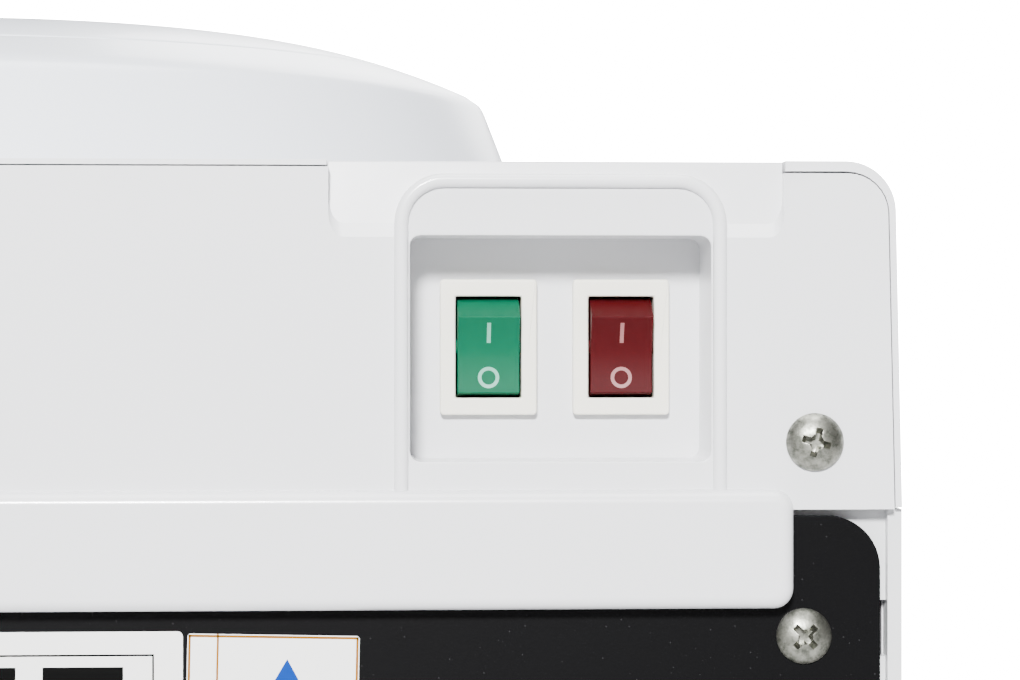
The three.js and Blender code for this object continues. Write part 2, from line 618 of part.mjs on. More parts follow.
const SHELF_Z = TANK_Z - INSULATION - GAP;
function tankShelf() {
  const x = [-PAN_HALF + 1, PAN_HALF - 1];
  const y = [ALCOVE_Y + WALL + 2, TANK_R + INSULATION + 8];
  const sheet = box(x, y, [SHELF_Z - 1.5, SHELF_Z]);
  const flanges = both.map((s) => box(span(s * (x[1] - 0.75), 1.5), y, [SHELF_Z - 16, SHELF_Z]));
  const ports = COLD_PORTS.map((at) => rod('z', at, PORT_R + 1, [SHELF_Z - 10, SHELF_Z + 5], 16));
  return cut(join(sheet, ...flanges), ...ports);
}
piece('tank_shelf', tankShelf(), STEEL);

// ---------- thermoelectric cooler: block, module, finned sink and fan ----------

const PELTIER_Y = TANK_R + INSULATION + 5;
const SINK_Y = PELTIER_Y + PELTIER_T + 2 * GAP;
const SINK_Z = TANK_Z + 38 - SINK_H;
const FAN_Y = SINK_Y + SINK_D + 2;

const blockBody = box(span(0, BLOCK), [20, PELTIER_Y], span(BLOCK_Z, BLOCK));
const tankCurve = rod('z', [0, 0], TANK_R + 2 * GAP, [TANK_Z - 20, TANK_TOP], 28);
piece('cold_block', cut(blockBody, tankCurve), ALUMINIUM);
const moduleY = [PELTIER_Y + GAP, PELTIER_Y + GAP + PELTIER_T];
piece('peltier_module', box(span(0, PELTIER), moduleY, span(BLOCK_Z, PELTIER)), CERAMIC);

function heatSink() {
  const fins = 11;
  const z = [SINK_Z, SINK_Z + SINK_H];
  const parts = [box(span(0, SINK_W), [SINK_Y, SINK_Y + 6], z)];
  for (let i = 0; i < fins; i += 1) {
    const x = lerp(-SINK_W / 2 + 1, SINK_W / 2 - 1, i / (fins - 1));
    parts.push(box(span(x, 2), [SINK_Y + 5, SINK_Y + SINK_D], z));
  }
  return join(...parts);
}
piece('heat_sink', heatSink(), ALUMINIUM);

const FAN_HOLE_R = FAN / 2 - 2;
const HUB_R = 14;
function fanFrame() {
  const r = 4;
  const back = FAN_Y + FAN_T;
  const square = slab(plate(span(0, FAN), span(FAN_Z, FAN), [r, r, r, r]), 'y', [FAN_Y, back], 2);
  const hole = rod('y', [0, FAN_Z], FAN_HOLE_R, [FAN_Y - 5, back + 5], 28);
  const arm = (turns) => {
    const strip = new THREE.BoxGeometry(FAN_HOLE_R + 1, 2, 3);
    strip.translate((FAN_HOLE_R + 1) / 2, 0, 0);
    strip.rotateY(turns * Math.PI / 2 + Math.PI / 4);
    strip.translate(0, back - 1, FAN_Z);
    return solid(strip);
  };
  const motor = rod('y', [0, FAN_Z], HUB_R, [back - 2, back], 16);
  return join(cut(square, hole), motor, ...[0, 1, 2, 3].map(arm));
}
piece('fan_frame', fanFrame(), DARK_PLASTIC);

function fanRotor() {
  const blades = 7;
  const y = [FAN_Y + 1.5, FAN_Y + FAN_T - 3];
  const middle = (y[0] + y[1]) / 2;
  const parts = [rod('y', [0, FAN_Z], HUB_R, y, 20)];
  for (let i = 0; i < blades; i += 1) {
    const blade = new THREE.BoxGeometry(FAN_HOLE_R - 2.5, 1.4, 15);
    blade.rotateX(0.65).translate((FAN_HOLE_R - 2.5) / 2 + 1, 0, 0);
    blade.rotateY(i * 2 * Math.PI / blades).translate(0, middle, FAN_Z);
    parts.push(solid(blade));
  }
  return join(...parts);
}
piece('fan_rotor', fanRotor(), DARK_PLASTIC);

// ---------- hot tank ----------

const HOT_AT = [HOT_X, HOT_Y];
const HOT_TOP = HOT_Z + HOT_H;
const FEED_AT = [HOT_X, HOT_Y];
const DRAIN_AT = [DRAIN_X, HOT_Y];
const STEAM_AT = [HOT_X, HOT_Y - 28];

function hotTank() {
  const t = 1.5;
  const can = turned([
    [0, HOT_Z], [HOT_R, HOT_Z], [HOT_R, HOT_TOP], [0, HOT_TOP],
  ], 24, HOT_AT);
  const hollow = turned([
    [0, HOT_Z + t], [HOT_R - t, HOT_Z + t], [HOT_R - t, HOT_TOP - t], [0, HOT_TOP - t],
  ], 24, HOT_AT);
  const low = [FEED_AT, DRAIN_AT].map((at) => rod('z', at, PORT_R, [HOT_Z - 10, HOT_Z + 1], 16));
  const lowBores = [FEED_AT, DRAIN_AT].map((at) => rod('z', at, PORT_R - 1.5, [HOT_Z - 20, HOT_Z + 5], 16));
  const high = rod('z', STEAM_AT, PORT_R, [HOT_TOP - 1, HOT_TOP + 8], 16);
  const highBore = rod('z', STEAM_AT, PORT_R - 1.5, [HOT_TOP - 5, HOT_TOP + 20], 16);
  return cut(join(can, ...low, high), hollow, ...lowBores, highBore);
}
piece('hot_tank', hotTank(), STEEL);

const ring = (r0, r1, z0, z1, sides = 24) => turned([[r0, z0], [r1, z0], [r1, z1], [r0, z1]], sides, HOT_AT);
piece('band_heater', ring(HOT_R + GAP, HOT_R + 3.3, HOT_Z + 15, HOT_Z + 45), ZINC);
piece('hot_insulation', ring(HOT_R + 4, HOT_R + INSULATION, HOT_Z + 5, HOT_TOP - 5), FOAM);

const CUTOUT_AT = [HOT_X + 22, HOT_Y + 5];
const cutoutBody = turned([
  [0, HOT_TOP + GAP], [10, HOT_TOP + GAP], [8, HOT_TOP + 4], [8, HOT_TOP + 9], [0, HOT_TOP + 9],
], 20, CUTOUT_AT);
const cutoutBore = rod('z', CUTOUT_AT, 3, [HOT_TOP + 4, HOT_TOP + 20], 16);
piece('overheat_cutout', cut(cutoutBody, cutoutBore), DARK_PLASTIC);
piece('reset_button', rod('z', CUTOUT_AT, 2.6, [HOT_TOP + 6.5, HOT_TOP + 11.5], 16), RED);

function hotBracket() {
  const x = span(HOT_X, 2 * (HOT_R + INSULATION) + 6);
  const y = span(HOT_Y, 2 * (HOT_R + INSULATION) + 4);
  const floor = PAN_Z + WALL + GAP;
  const top = HOT_Z - GAP;
  const deck = box(x, y, [top - 1.5, top]);
  const legs = [x[0], x[1] - 1.5].map((left) => box([left, left + 1.5], y, [floor, top]));
  const ports = [FEED_AT, DRAIN_AT].map((at) => rod('z', at, PORT_R + 1, [top - 10, top + 5], 16));
  return cut(join(deck, ...legs), ...ports);
}
piece('hot_bracket', hotBracket(), STEEL);

// ---------- power supply ----------

const BOARD_X = HALF_W - 55;
const boardParts = [box([BOARD_X, BOARD_X + 1.6], [-10, 100], [80, 190])];
const COMPONENTS = [
  [20, 40, 130, 165, 26],
  [60, 78, 100, 150, 18],
  [0, 12, 90, 110, 22],
  [84, 96, 150, 180, 14],
];
for (const [y0, y1, z0, z1, tall] of COMPONENTS) {
  boardParts.push(box([BOARD_X - tall, BOARD_X + 1], [y0, y1], [z0, z1]));
}
piece('power_board', join(...boardParts), BOARD);
const tray = box([BOARD_X + 5, BOARD_X + 14], [-14, 104], [76, 194]);
const trayHollow = box([BOARD_X, BOARD_X + 12], [-12, 102], [78, 192]);
const standoffX = [BOARD_X + 1.6 + GAP, BOARD_X + 13];
const standoffs = [[-4, 86], [94, 86], [-4, 184], [94, 184]].map((at) => rod('x', at, 3, standoffX, 12));
piece('board_tray', join(cut(tray, trayHollow), ...standoffs), DARK_PLASTIC);

// ---------- taps ----------

const TAP_Y = ALCOVE_Y - 28;
const BARREL_END = ALCOVE_Y + 14;
const CHAMBER_R = 12;
const CHAMBER_TOP = TAP_Z + 17;
const PIVOT_Y = TAP_Y - 8;
const PIVOT_Z = TAP_Z + 23;
const NECK_HALF = 7;
const STEM_R = 2;
const LEVER_Z = PIVOT_Z + 3;
const LEVER_T = 5;

function tapBody(x) {
  const barrel = rod('y', [x, TAP_Z], BARREL_R, [TAP_Y, BARREL_END]);
  const flange = rod('y', [x, TAP_Z], 14, [ALCOVE_Y - 3.5, ALCOVE_Y - GAP], 6);
  const chamber = rod('z', [x, TAP_Y], CHAMBER_R, [TAP_Z - 11, CHAMBER_TOP]);
  const spout = rod('z', [x, TAP_Y], 7, [TAP_Z - 30, TAP_Z - 10], 20);
  const ears = both.map((s) => {
    const ear = span(x + s * (NECK_HALF + 1.5), 2);
    const lug = box(ear, span(PIVOT_Y, 7), [CHAMBER_TOP - 6, PIVOT_Z]);
    return join(lug, rod('x', [PIVOT_Y, PIVOT_Z], 3.5, ear, 16));
  });
  const bores = [
    rod('y', [x, TAP_Z], 4, [TAP_Y, BARREL_END + 5], 16),
    rod('z', [x, TAP_Y], 8, [TAP_Z - 7, CHAMBER_TOP + 5], 20),
    rod('z', [x, TAP_Y], 4.5, [TAP_Z - 40, TAP_Z], 16),
  ];
  const pinHole = rod('x', [PIVOT_Y, PIVOT_Z], 1.6, span(x, 30), 12);
  return cut(join(barrel, flange, chamber, spout, ...ears), ...bores, pinHole);
}

function tapStem(x) {
  const plug = rod('z', [x, TAP_Y], 7.5, [TAP_Z - 6.5, TAP_Z + 1], 20);
  return join(plug, rod('z', [x, TAP_Y], STEM_R, [TAP_Z, LEVER_Z - GAP], 12));
}

const CATCH_Y = PIVOT_Y - 22;
const CATCH_TRAVEL = 5;
function tapLever(x, hasCatch) {
  const heel = [PIVOT_Y - 9, TAP_Y + 7];
  const strip = box(span(x, 2 * NECK_HALF), heel, [LEVER_Z, LEVER_Z + LEVER_T]);
  const neck = box(span(x, 2 * NECK_HALF), span(PIVOT_Y, 7), [PIVOT_Z - 3, LEVER_Z + 1]);
  const paddleShape = plate(span(x, 26), [PIVOT_Y - 38, PIVOT_Y - 6.5], [10, 10, 3, 3]);
  const paddle = slab(paddleShape, 'z', [LEVER_Z, LEVER_Z + LEVER_T]);
  const pinHole = rod('x', [PIVOT_Y, PIVOT_Z], 1.6, span(x, 30), 12);
  const body = cut(join(strip, neck, paddle), pinHole);
  if (!hasCatch) return body;
  const slotY = [CATCH_Y - CATCH_TRAVEL - 2.5, CATCH_Y + 2.5];
  return cut(body, box(span(x, 6.6), slotY, [LEVER_Z - 5, LEVER_Z + LEVER_T + 5]));
}

const TAPS = { cold: [1, BLUE], hot: [-1, RED] };
for (const [use, [side, colour]] of Object.entries(TAPS)) {
  const x = side * TAP_X;
  piece(`${use}_tap_body`, tapBody(x), WHITE);
  piece(`${use}_tap_stem`, tapStem(x), SILICONE);
  piece(`${use}_tap_lever`, tapLever(x, use === 'hot'), colour);
  piece(`${use}_lever_pin`, rod('x', [PIVOT_Y, PIVOT_Z], 1.5, span(x, 19), 12), STEEL);
}
const catchTop = box(span(-TAP_X, 9), span(CATCH_Y, 8), [LEVER_Z + LEVER_T + GAP, LEVER_Z + LEVER_T + 3]);
const catchStem = box(span(-TAP_X, 6), span(CATCH_Y, 4), [LEVER_Z - 1, LEVER_Z + LEVER_T + 1]);
piece('hot_safety_catch', join(catchTop, catchStem), WHITE);

// ---------- hoses ----------

const TUBE_R = 4.5;
const start = TANK_Z - 16 - GAP;
const tapEnd = BARREL_END + GAP;
const [coldPort, feedPort] = COLD_PORTS;
piece('cold_hose', hose([
  [...coldPort, start], [...coldPort, start - 3], [TAP_X - 4, tapEnd + 16, TAP_Z + 1],
  [TAP_X, tapEnd + 8, TAP_Z], [TAP_X, tapEnd, TAP_Z],
], TUBE_R), SILICONE);
piece('hot_hose', hose([
  [...STEAM_AT, HOT_TOP + 8 + GAP], [STEAM_AT[0], STEAM_AT[1], HOT_TOP + 16],
  [STEAM_AT[0] + 8, STEAM_AT[1] - 22, TAP_Z - 8], [-TAP_X, tapEnd + 14, TAP_Z], [-TAP_X, tapEnd, TAP_Z],
], TUBE_R, 14), SILICONE);
const clearX = HOT_X + HOT_R + INSULATION + 14;
const low = HOT_Z - 26;
piece('feed_hose', hose([
  [...feedPort, start], [...feedPort, start - 6], [clearX - 6, -8, start - 30], [clearX, -20, HOT_Z + 40],
  [clearX - 8, -34, HOT_Z - 5], [HOT_X + 25, -28, low], [HOT_X, 4, low - 4], [HOT_X, HOT_Y, HOT_Z - 15],
  [HOT_X, HOT_Y, HOT_Z - 10 - GAP],
], TUBE_R, 28), SILICONE);
piece('drain_hose', hose([
  [...DRAIN_AT, HOT_Z - 10 - GAP], [...DRAIN_AT, HOT_Z - 15], [DRAIN_X, DRAIN_AT[1] + 26, DRAIN_Z + 1],
  [DRAIN_X, PLATE_Y - 30, DRAIN_Z], [DRAIN_X, PLATE_Y - 12 - GAP, DRAIN_Z],
], TUBE_R, 14), SILICONE);

// ---------- drip tray and its grille ----------

const TRAY_WALL = 2;
const TRAY_TOP = BASE_TOP - 4;
const LEDGE_Z = TRAY_TOP - 4;
const TRAY_BACK = BAY_Y - 1;

function dripTray() {
  const outline = plate(span(0, TRAY_W), [NOSE_Y, TRAY_BACK], [2, 2, 2, 2]);
  const outer = slab(outline, 'z', [BAY_Z + GAP, TRAY_TOP], 2);
  const insideY = [NOSE_Y + TRAY_WALL, TRAY_BACK - TRAY_WALL];
  const upper = box(span(0, TRAY_W - 2 * TRAY_WALL), insideY, [LEDGE_Z, TRAY_TOP + 5]);
  const lower = box(span(0, TRAY_W - 4 * TRAY_WALL), [NOSE_Y + 2 * TRAY_WALL, TRAY_BACK - 2 * TRAY_WALL],
    [BAY_Z + GAP + TRAY_WALL, TRAY_TOP + 5]);
  return cut(outer, upper, lower);
}
piece('drip_tray', dripTray(), DARK_PLASTIC);

function dripGrille() {
  const w = TRAY_W - 2 * TRAY_WALL - 2 * GAP;
  const y = [NOSE_Y + TRAY_WALL + GAP, TRAY_BACK - TRAY_WALL - GAP];
  const slots = [];
  for (let i = -7; i <= 7; i += 1) {
    slots.push(box(span(i * 10, 5), [y[0] + 8, y[1] - 8], [LEDGE_Z - 5, TRAY_TOP + 5]));
  }
  return cut(box(span(0, w), y, [LEDGE_Z + GAP, TRAY_TOP - GAP]), ...slots);
}
piece('drip_grille', dripGrille(), STEEL);

export default group;
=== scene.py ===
# Countertop hot and cold water dispenser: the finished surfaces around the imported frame. Metres.
import json
import math

import bmesh
import bpy
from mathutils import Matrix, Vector


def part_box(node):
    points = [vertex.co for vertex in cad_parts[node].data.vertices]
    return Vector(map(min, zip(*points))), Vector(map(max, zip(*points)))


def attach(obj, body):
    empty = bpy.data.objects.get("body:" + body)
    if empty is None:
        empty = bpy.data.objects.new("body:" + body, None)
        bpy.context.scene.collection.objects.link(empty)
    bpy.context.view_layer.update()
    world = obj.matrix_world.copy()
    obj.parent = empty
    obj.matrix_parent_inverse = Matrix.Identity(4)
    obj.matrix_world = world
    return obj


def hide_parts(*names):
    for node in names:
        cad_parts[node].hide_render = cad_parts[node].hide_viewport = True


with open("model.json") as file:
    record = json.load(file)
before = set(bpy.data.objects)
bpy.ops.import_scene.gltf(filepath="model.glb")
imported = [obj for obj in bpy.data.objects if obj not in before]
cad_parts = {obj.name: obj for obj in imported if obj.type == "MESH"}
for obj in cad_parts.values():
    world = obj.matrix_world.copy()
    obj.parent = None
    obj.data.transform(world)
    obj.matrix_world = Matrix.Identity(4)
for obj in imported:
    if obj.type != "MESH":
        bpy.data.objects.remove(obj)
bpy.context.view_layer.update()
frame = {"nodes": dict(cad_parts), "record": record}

MM = 0.001
TURN = 2 * math.pi
ROOM_GLOW = 0.14
BACKDROP_GLOW = 40.0


# ---------- camera, light and floor ----------

def add_camera():
    """A long lens behind the dispenser, level with the switches and turned a little to its left."""
    data = bpy.data.cameras.new("camera")
    data.lens = 100.5
    data.clip_start = 0.02
    camera = bpy.data.objects.new("camera", data)
    bpy.context.scene.collection.objects.link(camera)
    camera.location = (-0.0728, 0.577, 0.3729)
    camera.rotation_euler = (math.radians(90), 0, math.radians(180 - 3.1))
    bpy.context.scene.camera = camera


def add_area_light(name, place, target, size, power, spread=180):
    data = bpy.data.lights.new(name, "AREA")
    data.spread = math.radians(spread)
    data.shape = "DISK"
    data.size = size
    data.energy = power
    light = bpy.data.objects.new(name, data)
    bpy.context.scene.collection.objects.link(light)
    light.location = place
    light.rotation_euler = (Vector(target) - Vector(place)).to_track_quat("-Z", "Y").to_euler()


def add_studio():
    add_area_light("key_rear", (0.1, 1.6, 1.0), (-0.08, 0.15, 0.36), 0.24, 38, spread=120)
    add_area_light("overhead", (-0.1, 0.3, 2.2), (-0.05, 0.1, 0.3), 1.6, 60)
    add_area_light("fill_left", (1.7, 1.1, 0.7), (0, 0.1, 0.3), 1.0, 0.8)
    add_area_light("front_soft", (-0.6, -1.6, 1.3), (0, -0.2, 0.2), 1.4, 45)
    world = bpy.data.worlds.new("studio")
    bpy.context.scene.world = world
    world.use_nodes = True
    tree = world.node_tree
    ray = add_node(tree, "ShaderNodeLightPath").outputs["Is Camera Ray"]
    glow = add_node(tree, "ShaderNodeMapRange", {"Value": ray, "To Min": ROOM_GLOW, "To Max": BACKDROP_GLOW})
    tree.nodes["Background"].inputs["Color"].default_value = (1, 1, 1, 1)
    tree.links.new(glow.outputs["Result"], tree.nodes["Background"].inputs["Strength"])
    bpy.ops.object.select_all(action="DESELECT")
    bpy.ops.mesh.primitive_plane_add(size=4.2)
    floor = bpy.context.object
    floor.name = "floor"
    floor.data.materials.append(material_floor())


# ---------- materials ----------

def linear(code):
    """An sRGB colour such as e9e9eb as linear red, green, blue and alpha."""
    channels = [int(code[i:i + 2], 16) / 255 for i in (0, 2, 4)]
    return [c / 12.92 if c <= 0.04045 else ((c + 0.055) / 1.055) ** 2.4 for c in channels] + [1.0]


def per_metre(size_mm):
    """Texture scale on object coordinates for a pattern that repeats about every size_mm."""
    return 1000 / size_mm


def add_node(tree, kind, inputs=None, **settings):
    node = tree.nodes.new(kind)
    for key, value in settings.items():
        setattr(node, key, value)
    for key, value in (inputs or {}).items():
        if isinstance(value, bpy.types.NodeSocket):
            tree.links.new(value, node.inputs[key])
        else:
            node.inputs[key].default_value = value
    return node


def new_material(name):
    material = bpy.data.materials.new(name)
    material.use_nodes = True
    tree = material.node_tree
    place = add_node(tree, "ShaderNodeTexCoord").outputs["Object"]
    return material, tree, tree.nodes["Principled BSDF"], place


def moulded(name, colour, shade, roughness, peel_mm=2.2, peel=0.012, ior=1.5, grain_mm=0.35, grain=0.0):
    """Injection moulded plastic: a soft orange peel, faint colour drift and uneven polish."""
    material, tree, shader, place = new_material(name)
    drift = add_node(tree, "ShaderNodeTexNoise", {"Vector": place, "Scale": per_metre(45), "Detail": 3.0})
    mix = add_node(tree, "ShaderNodeMix", {"Factor": drift.outputs["Fac"], "A": linear(colour),
                                           "B": linear(shade)}, data_type="RGBA")
    tree.links.new(mix.outputs["Result"], shader.inputs["Base Color"])
    smear = add_node(tree, "ShaderNodeTexNoise", {"Vector": place, "Scale": per_metre(18), "Detail": 4.0})
    polish = add_node(tree, "ShaderNodeMapRange", {"Value": smear.outputs["Fac"], "To Min": roughness * 0.85,
                                                   "To Max": roughness * 1.2})
    tree.links.new(polish.outputs["Result"], shader.inputs["Roughness"])
    orange = add_node(tree, "ShaderNodeTexNoise", {"Vector": place, "Scale": per_metre(peel_mm),
                                                   "Detail": 1.0})
    bump = add_node(tree, "ShaderNodeBump", {"Height": orange.outputs["Fac"], "Strength": 0.5,
                                             "Distance": peel * MM})
    if grain:
        fine = add_node(tree, "ShaderNodeTexNoise", {"Vector": place, "Scale": per_metre(grain_mm),
                                                     "Detail": 2.0})
        bump = add_node(tree, "ShaderNodeBump", {"Height": fine.outputs["Fac"], "Strength": 0.6,
                                                 "Distance": grain * MM, "Normal": bump.outputs["Normal"]})
    tree.links.new(bump.outputs["Normal"], shader.inputs["Normal"])
    shader.inputs["IOR"].default_value = ior
    return material, tree, shader, place


def material_white_abs():
    """Glossy white ABS, mould polished: clean highlights that break a little on its orange peel."""
    material, _, shader, _ = moulded("white_abs", "dfdfe1", "dadbde", 0.22)
    shader.inputs["Coat Weight"].default_value = 0.15
    shader.inputs["Coat Roughness"].default_value = 0.08
    return material


def material_dome_abs():
    """High gloss white ABS, a touch bluer than the housing."""
    material, _, shader, _ = moulded("dome_abs", "e3e7ee", "dee3eb", 0.3, peel_mm=3.5, peel=0.008)
    shader.inputs["Coat Weight"].default_value = 0.1
    shader.inputs["Coat Roughness"].default_value = 0.15
    return material


def material_grey_abs():
    """Grey ABS with a fine spark-eroded grain, so that it looks dull and even."""
    return moulded("grained_grey_abs", "9b9da0", "909296", 0.5, grain=0.05)[0]


def material_dark_abs():
    """Charcoal ABS with a spark-eroded grain."""
    return moulded("grained_dark_abs", "2c2c2e", "242426", 0.45, grain=0.05)[0]


def material_nylon():
    """Ivory nylon: semi gloss, with light going a little way in."""
    material, _, shader, _ = moulded("ivory_nylon", "ece9dd", "e8e5d8", 0.32, peel_mm=1.2, peel=0.008,
                                     ior=1.53)
    shader.inputs["Subsurface Weight"].default_value = 0.15
    shader.inputs["Subsurface Scale"].default_value = 1.2 * MM
    shader.inputs["Subsurface Radius"].default_value = (1.0, 0.9, 0.7)
    return material


def tinted_polycarbonate(name, colour, shade, radius):
    """Tinted polycarbonate with a fine grain, and light going a little way in.

    Its IOR is set well below the real 1.585, only to keep this studio's light from washing the colour out.
    """
    material, _, shader, _ = moulded(name, colour, shade, 0.55, peel_mm=0.8, peel=0.01, ior=1.2,
                                     grain_mm=0.12, grain=0.012)
    shader.inputs["Subsurface Weight"].default_value = 0.2
    shader.inputs["Subsurface Scale"].default_value = 0.8 * MM
    shader.inputs["Subsurface Radius"].default_value = radius
    return material


def powder_coat(name, colour, shade, speck, roughness, cell_mm, depth_mm, ior):
    """Baked powder coat on sheet steel: a fine dimpled skin with scattered lighter specks."""
    material, tree, shader, place = new_material(name)
    drift = add_node(tree, "ShaderNodeTexNoise", {"Vector": place, "Scale": per_metre(30), "Detail": 4.0})
    base = add_node(tree, "ShaderNodeMix", {"Factor": drift.outputs["Fac"], "A": linear(colour),
                                            "B": linear(shade)}, data_type="RGBA")
    dots = add_node(tree, "ShaderNodeTexVoronoi", {"Vector": place, "Scale": per_metre(1.6)})
    few = add_node(tree, "ShaderNodeMapRange", {"Value": dots.outputs["Distance"], "From Min": 0.02,
                                                "From Max": 0.09, "To Min": 0.35, "To Max": 0.0})
    mixed = add_node(tree, "ShaderNodeMix", {"Factor": few.outputs["Result"], "A": base.outputs["Result"],
                                             "B": linear(speck)}, data_type="RGBA")
    tree.links.new(mixed.outputs["Result"], shader.inputs["Base Color"])
    dimple = add_node(tree, "ShaderNodeTexNoise", {"Vector": place, "Scale": per_metre(cell_mm),
                                                   "Detail": 2.0})
    bump = add_node(tree, "ShaderNodeBump", {"Height": dimple.outputs["Fac"], "Strength": 0.7,
                                             "Distance": depth_mm * MM})
    tree.links.new(bump.outputs["Normal"], shader.inputs["Normal"])
    shader.inputs["Roughness"].default_value = roughness
    shader.inputs["IOR"].default_value = ior
    return material


def material_black_coat():
    """Satin black powder coat. Its IOR is set below a real coat's 1.5, to keep the black deep in this light."""
    return powder_coat("black_powder_coat", "050506", "030304", "4a4a4c", 0.27, 0.5, 0.012, ior=1.3)


def material_white_coat():
    """White powder coat of the side panels."""
    return powder_coat("white_powder_coat", "d6d7d8", "d1d2d4", "f4f4f4", 0.35, 0.6, 0.015, ior=1.5)


def material_zinc():
    """Zinc plated steel, handled and a little oxidised: grey bloom and yellow-green stains."""
    material, tree, shader, place = new_material("zinc_plate")
    bloom = add_node(tree, "ShaderNodeTexNoise", {"Vector": place, "Scale": per_metre(1.3), "Detail": 6.0,
                                                  "Roughness": 0.65})
    ramp = add_node(tree, "ShaderNodeValToRGB", {"Fac": bloom.outputs["Fac"]})
    ramp.color_ramp.elements[0].position = 0.35
    ramp.color_ramp.elements[0].color = linear("5d5f57")
    ramp.color_ramp.elements[1].position = 0.68
    ramp.color_ramp.elements[1].color = linear("a9a99f")
    tree.links.new(ramp.outputs["Color"], shader.inputs["Base Color"])
    rough = add_node(tree, "ShaderNodeMapRange", {"Value": bloom.outputs["Fac"], "To Min": 0.55,
                                                  "To Max": 0.28})
    tree.links.new(rough.outputs["Result"], shader.inputs["Roughness"])
    pits = add_node(tree, "ShaderNodeTexNoise", {"Vector": place, "Scale": per_metre(0.5), "Detail": 3.0})
    bump = add_node(tree, "ShaderNodeBump", {"Height": pits.outputs["Fac"], "Strength": 0.7,
                                             "Distance": 0.04 * MM})
    tree.links.new(bump.outputs["Normal"], shader.inputs["Normal"])
    shader.inputs["Metallic"].default_value = 1.0
    return material


def brushed_metal(name, colour, roughness, stretch):
    """Brushed or drawn metal: fine lines along one axis that spread its highlights."""
    material, tree, shader, place = new_material(name)
    lines = add_node(tree, "ShaderNodeMapping", {"Vector": place, "Scale": stretch})
    grain = add_node(tree, "ShaderNodeTexNoise", {"Vector": lines.outputs["Vector"], "Scale": per_metre(0.6),
                                                  "Detail": 3.0})
    bump = add_node(tree, "ShaderNodeBump", {"Height": grain.outputs["Fac"], "Strength": 0.4,
                                             "Distance": 0.02 * MM})
    tree.links.new(bump.outputs["Normal"], shader.inputs["Normal"])
    rough = add_node(tree, "ShaderNodeMapRange", {"Value": grain.outputs["Fac"], "To Min": roughness * 0.8,
                                                  "To Max": roughness * 1.3})
    tree.links.new(rough.outputs["Result"], shader.inputs["Roughness"])
    shader.inputs["Base Color"].default_value = linear(colour)
    shader.inputs["Metallic"].default_value = 1.0
    return material


def soft_material(name, colour, shade, roughness, cell_mm, depth_mm, subsurface=0.0, ior=1.5):
    """Rubber, silicone, foam, board and paper: a matt skin with cells or fibres of a given size."""
    material, tree, shader, place = new_material(name)
    cells = add_node(tree, "ShaderNodeTexNoise", {"Vector": place, "Scale": per_metre(cell_mm),
                                                  "Detail": 4.0})
    mix = add_node(tree, "ShaderNodeMix", {"Factor": cells.outputs["Fac"], "A": linear(colour),
                                           "B": linear(shade)}, data_type="RGBA")
    tree.links.new(mix.outputs["Result"], shader.inputs["Base Color"])
    bump = add_node(tree, "ShaderNodeBump", {"Height": cells.outputs["Fac"], "Strength": 0.6,
                                             "Distance": depth_mm * MM})
    tree.links.new(bump.outputs["Normal"], shader.inputs["Normal"])
    shader.inputs["Roughness"].default_value = roughness
    shader.inputs["IOR"].default_value = ior
    shader.inputs["Subsurface Weight"].default_value = subsurface
    shader.inputs["Subsurface Scale"].default_value = 2 * MM
    return material


def material_floor():
    """Matt white studio card."""
    material, tree, shader, place = new_material("studio_card")
    fibre = add_node(tree, "ShaderNodeTexNoise", {"Vector": place, "Scale": per_metre(60), "Detail": 2.0})
    mix = add_node(tree, "ShaderNodeMix", {"Factor": fibre.outputs["Fac"], "A": linear("c6c6c7"),
                                           "B": linear("cacacb")}, data_type="RGBA")
    tree.links.new(mix.outputs["Result"], shader.inputs["Base Color"])
    shader.inputs["Roughness"].default_value = 0.9
    return material


WHITE = material_white_abs()
DOME = material_dome_abs()
GREY = material_grey_abs()
DARK = material_dark_abs()
IVORY = material_nylon()
GREEN = tinted_polycarbonate("green_polycarbonate", "00583d", "005038", (0.2, 1.0, 0.6))
RED = tinted_polycarbonate("red_polycarbonate", "400509", "390408", (1.0, 0.25, 0.2))
BLUE = tinted_polycarbonate("blue_polycarbonate", "2a63b8", "2459a8", (0.2, 0.4, 1.0))
AMBER = tinted_polycarbonate("amber_polycarbonate", "dba32a", "cf9722", (1.0, 0.6, 0.1))
BLACK_COAT = material_black_coat()
WHITE_COAT = material_white_coat()
ZINC = material_zinc()
STAINLESS = brushed_metal("brushed_stainless", "c6c7c8", 0.28, (1, 1, 14))
ALUMINIUM = brushed_metal("extruded_aluminium", "bfc1c3", 0.35, (8, 8, 1))
FOAM = soft_material("closed_cell_foam", "dedbd3", "cfccc3", 0.9, 1.2, 0.15)
SILICONE = soft_material("clear_silicone", "dfe1e1", "d6d9d9", 0.4, 8, 0.02, subsurface=0.3)
RUBBER = soft_material("black_rubber", "232323", "1b1b1b", 0.75, 0.6, 0.03)
BOARD = soft_material("solder_mask", "2d6b40", "275f38", 0.45, 3, 0.03)
CERAMIC = soft_material("alumina_ceramic", "e8e5de", "e2dfd7", 0.6, 0.8, 0.02)
PAPER = soft_material("coated_label_paper", "f2f2f0", "eeeeec", 0.45, 2.5, 0.006)
# Three inks have an IOR below a real ink's 1.5, for the same reason as the black coat.
INK = soft_material("black_print", "020202", "030303", 0.4, 1.5, 0.002, ior=1.15)
GOLD_INK = soft_material("ochre_print", "8a5808", "7f5006", 0.5, 1.5, 0.002, ior=1.2)
BLUE_INK = soft_material("blue_print", "00378a", "003280", 0.4, 1.5, 0.002, ior=1.2)
GREEN_MARK = soft_material("thin_print_on_green", "62a892", "4f9680", 0.5, 0.5, 0.004)
RED_MARK = soft_material("thin_print_on_red", "8f5c5c", "7d4848", 0.5, 0.5, 0.004)

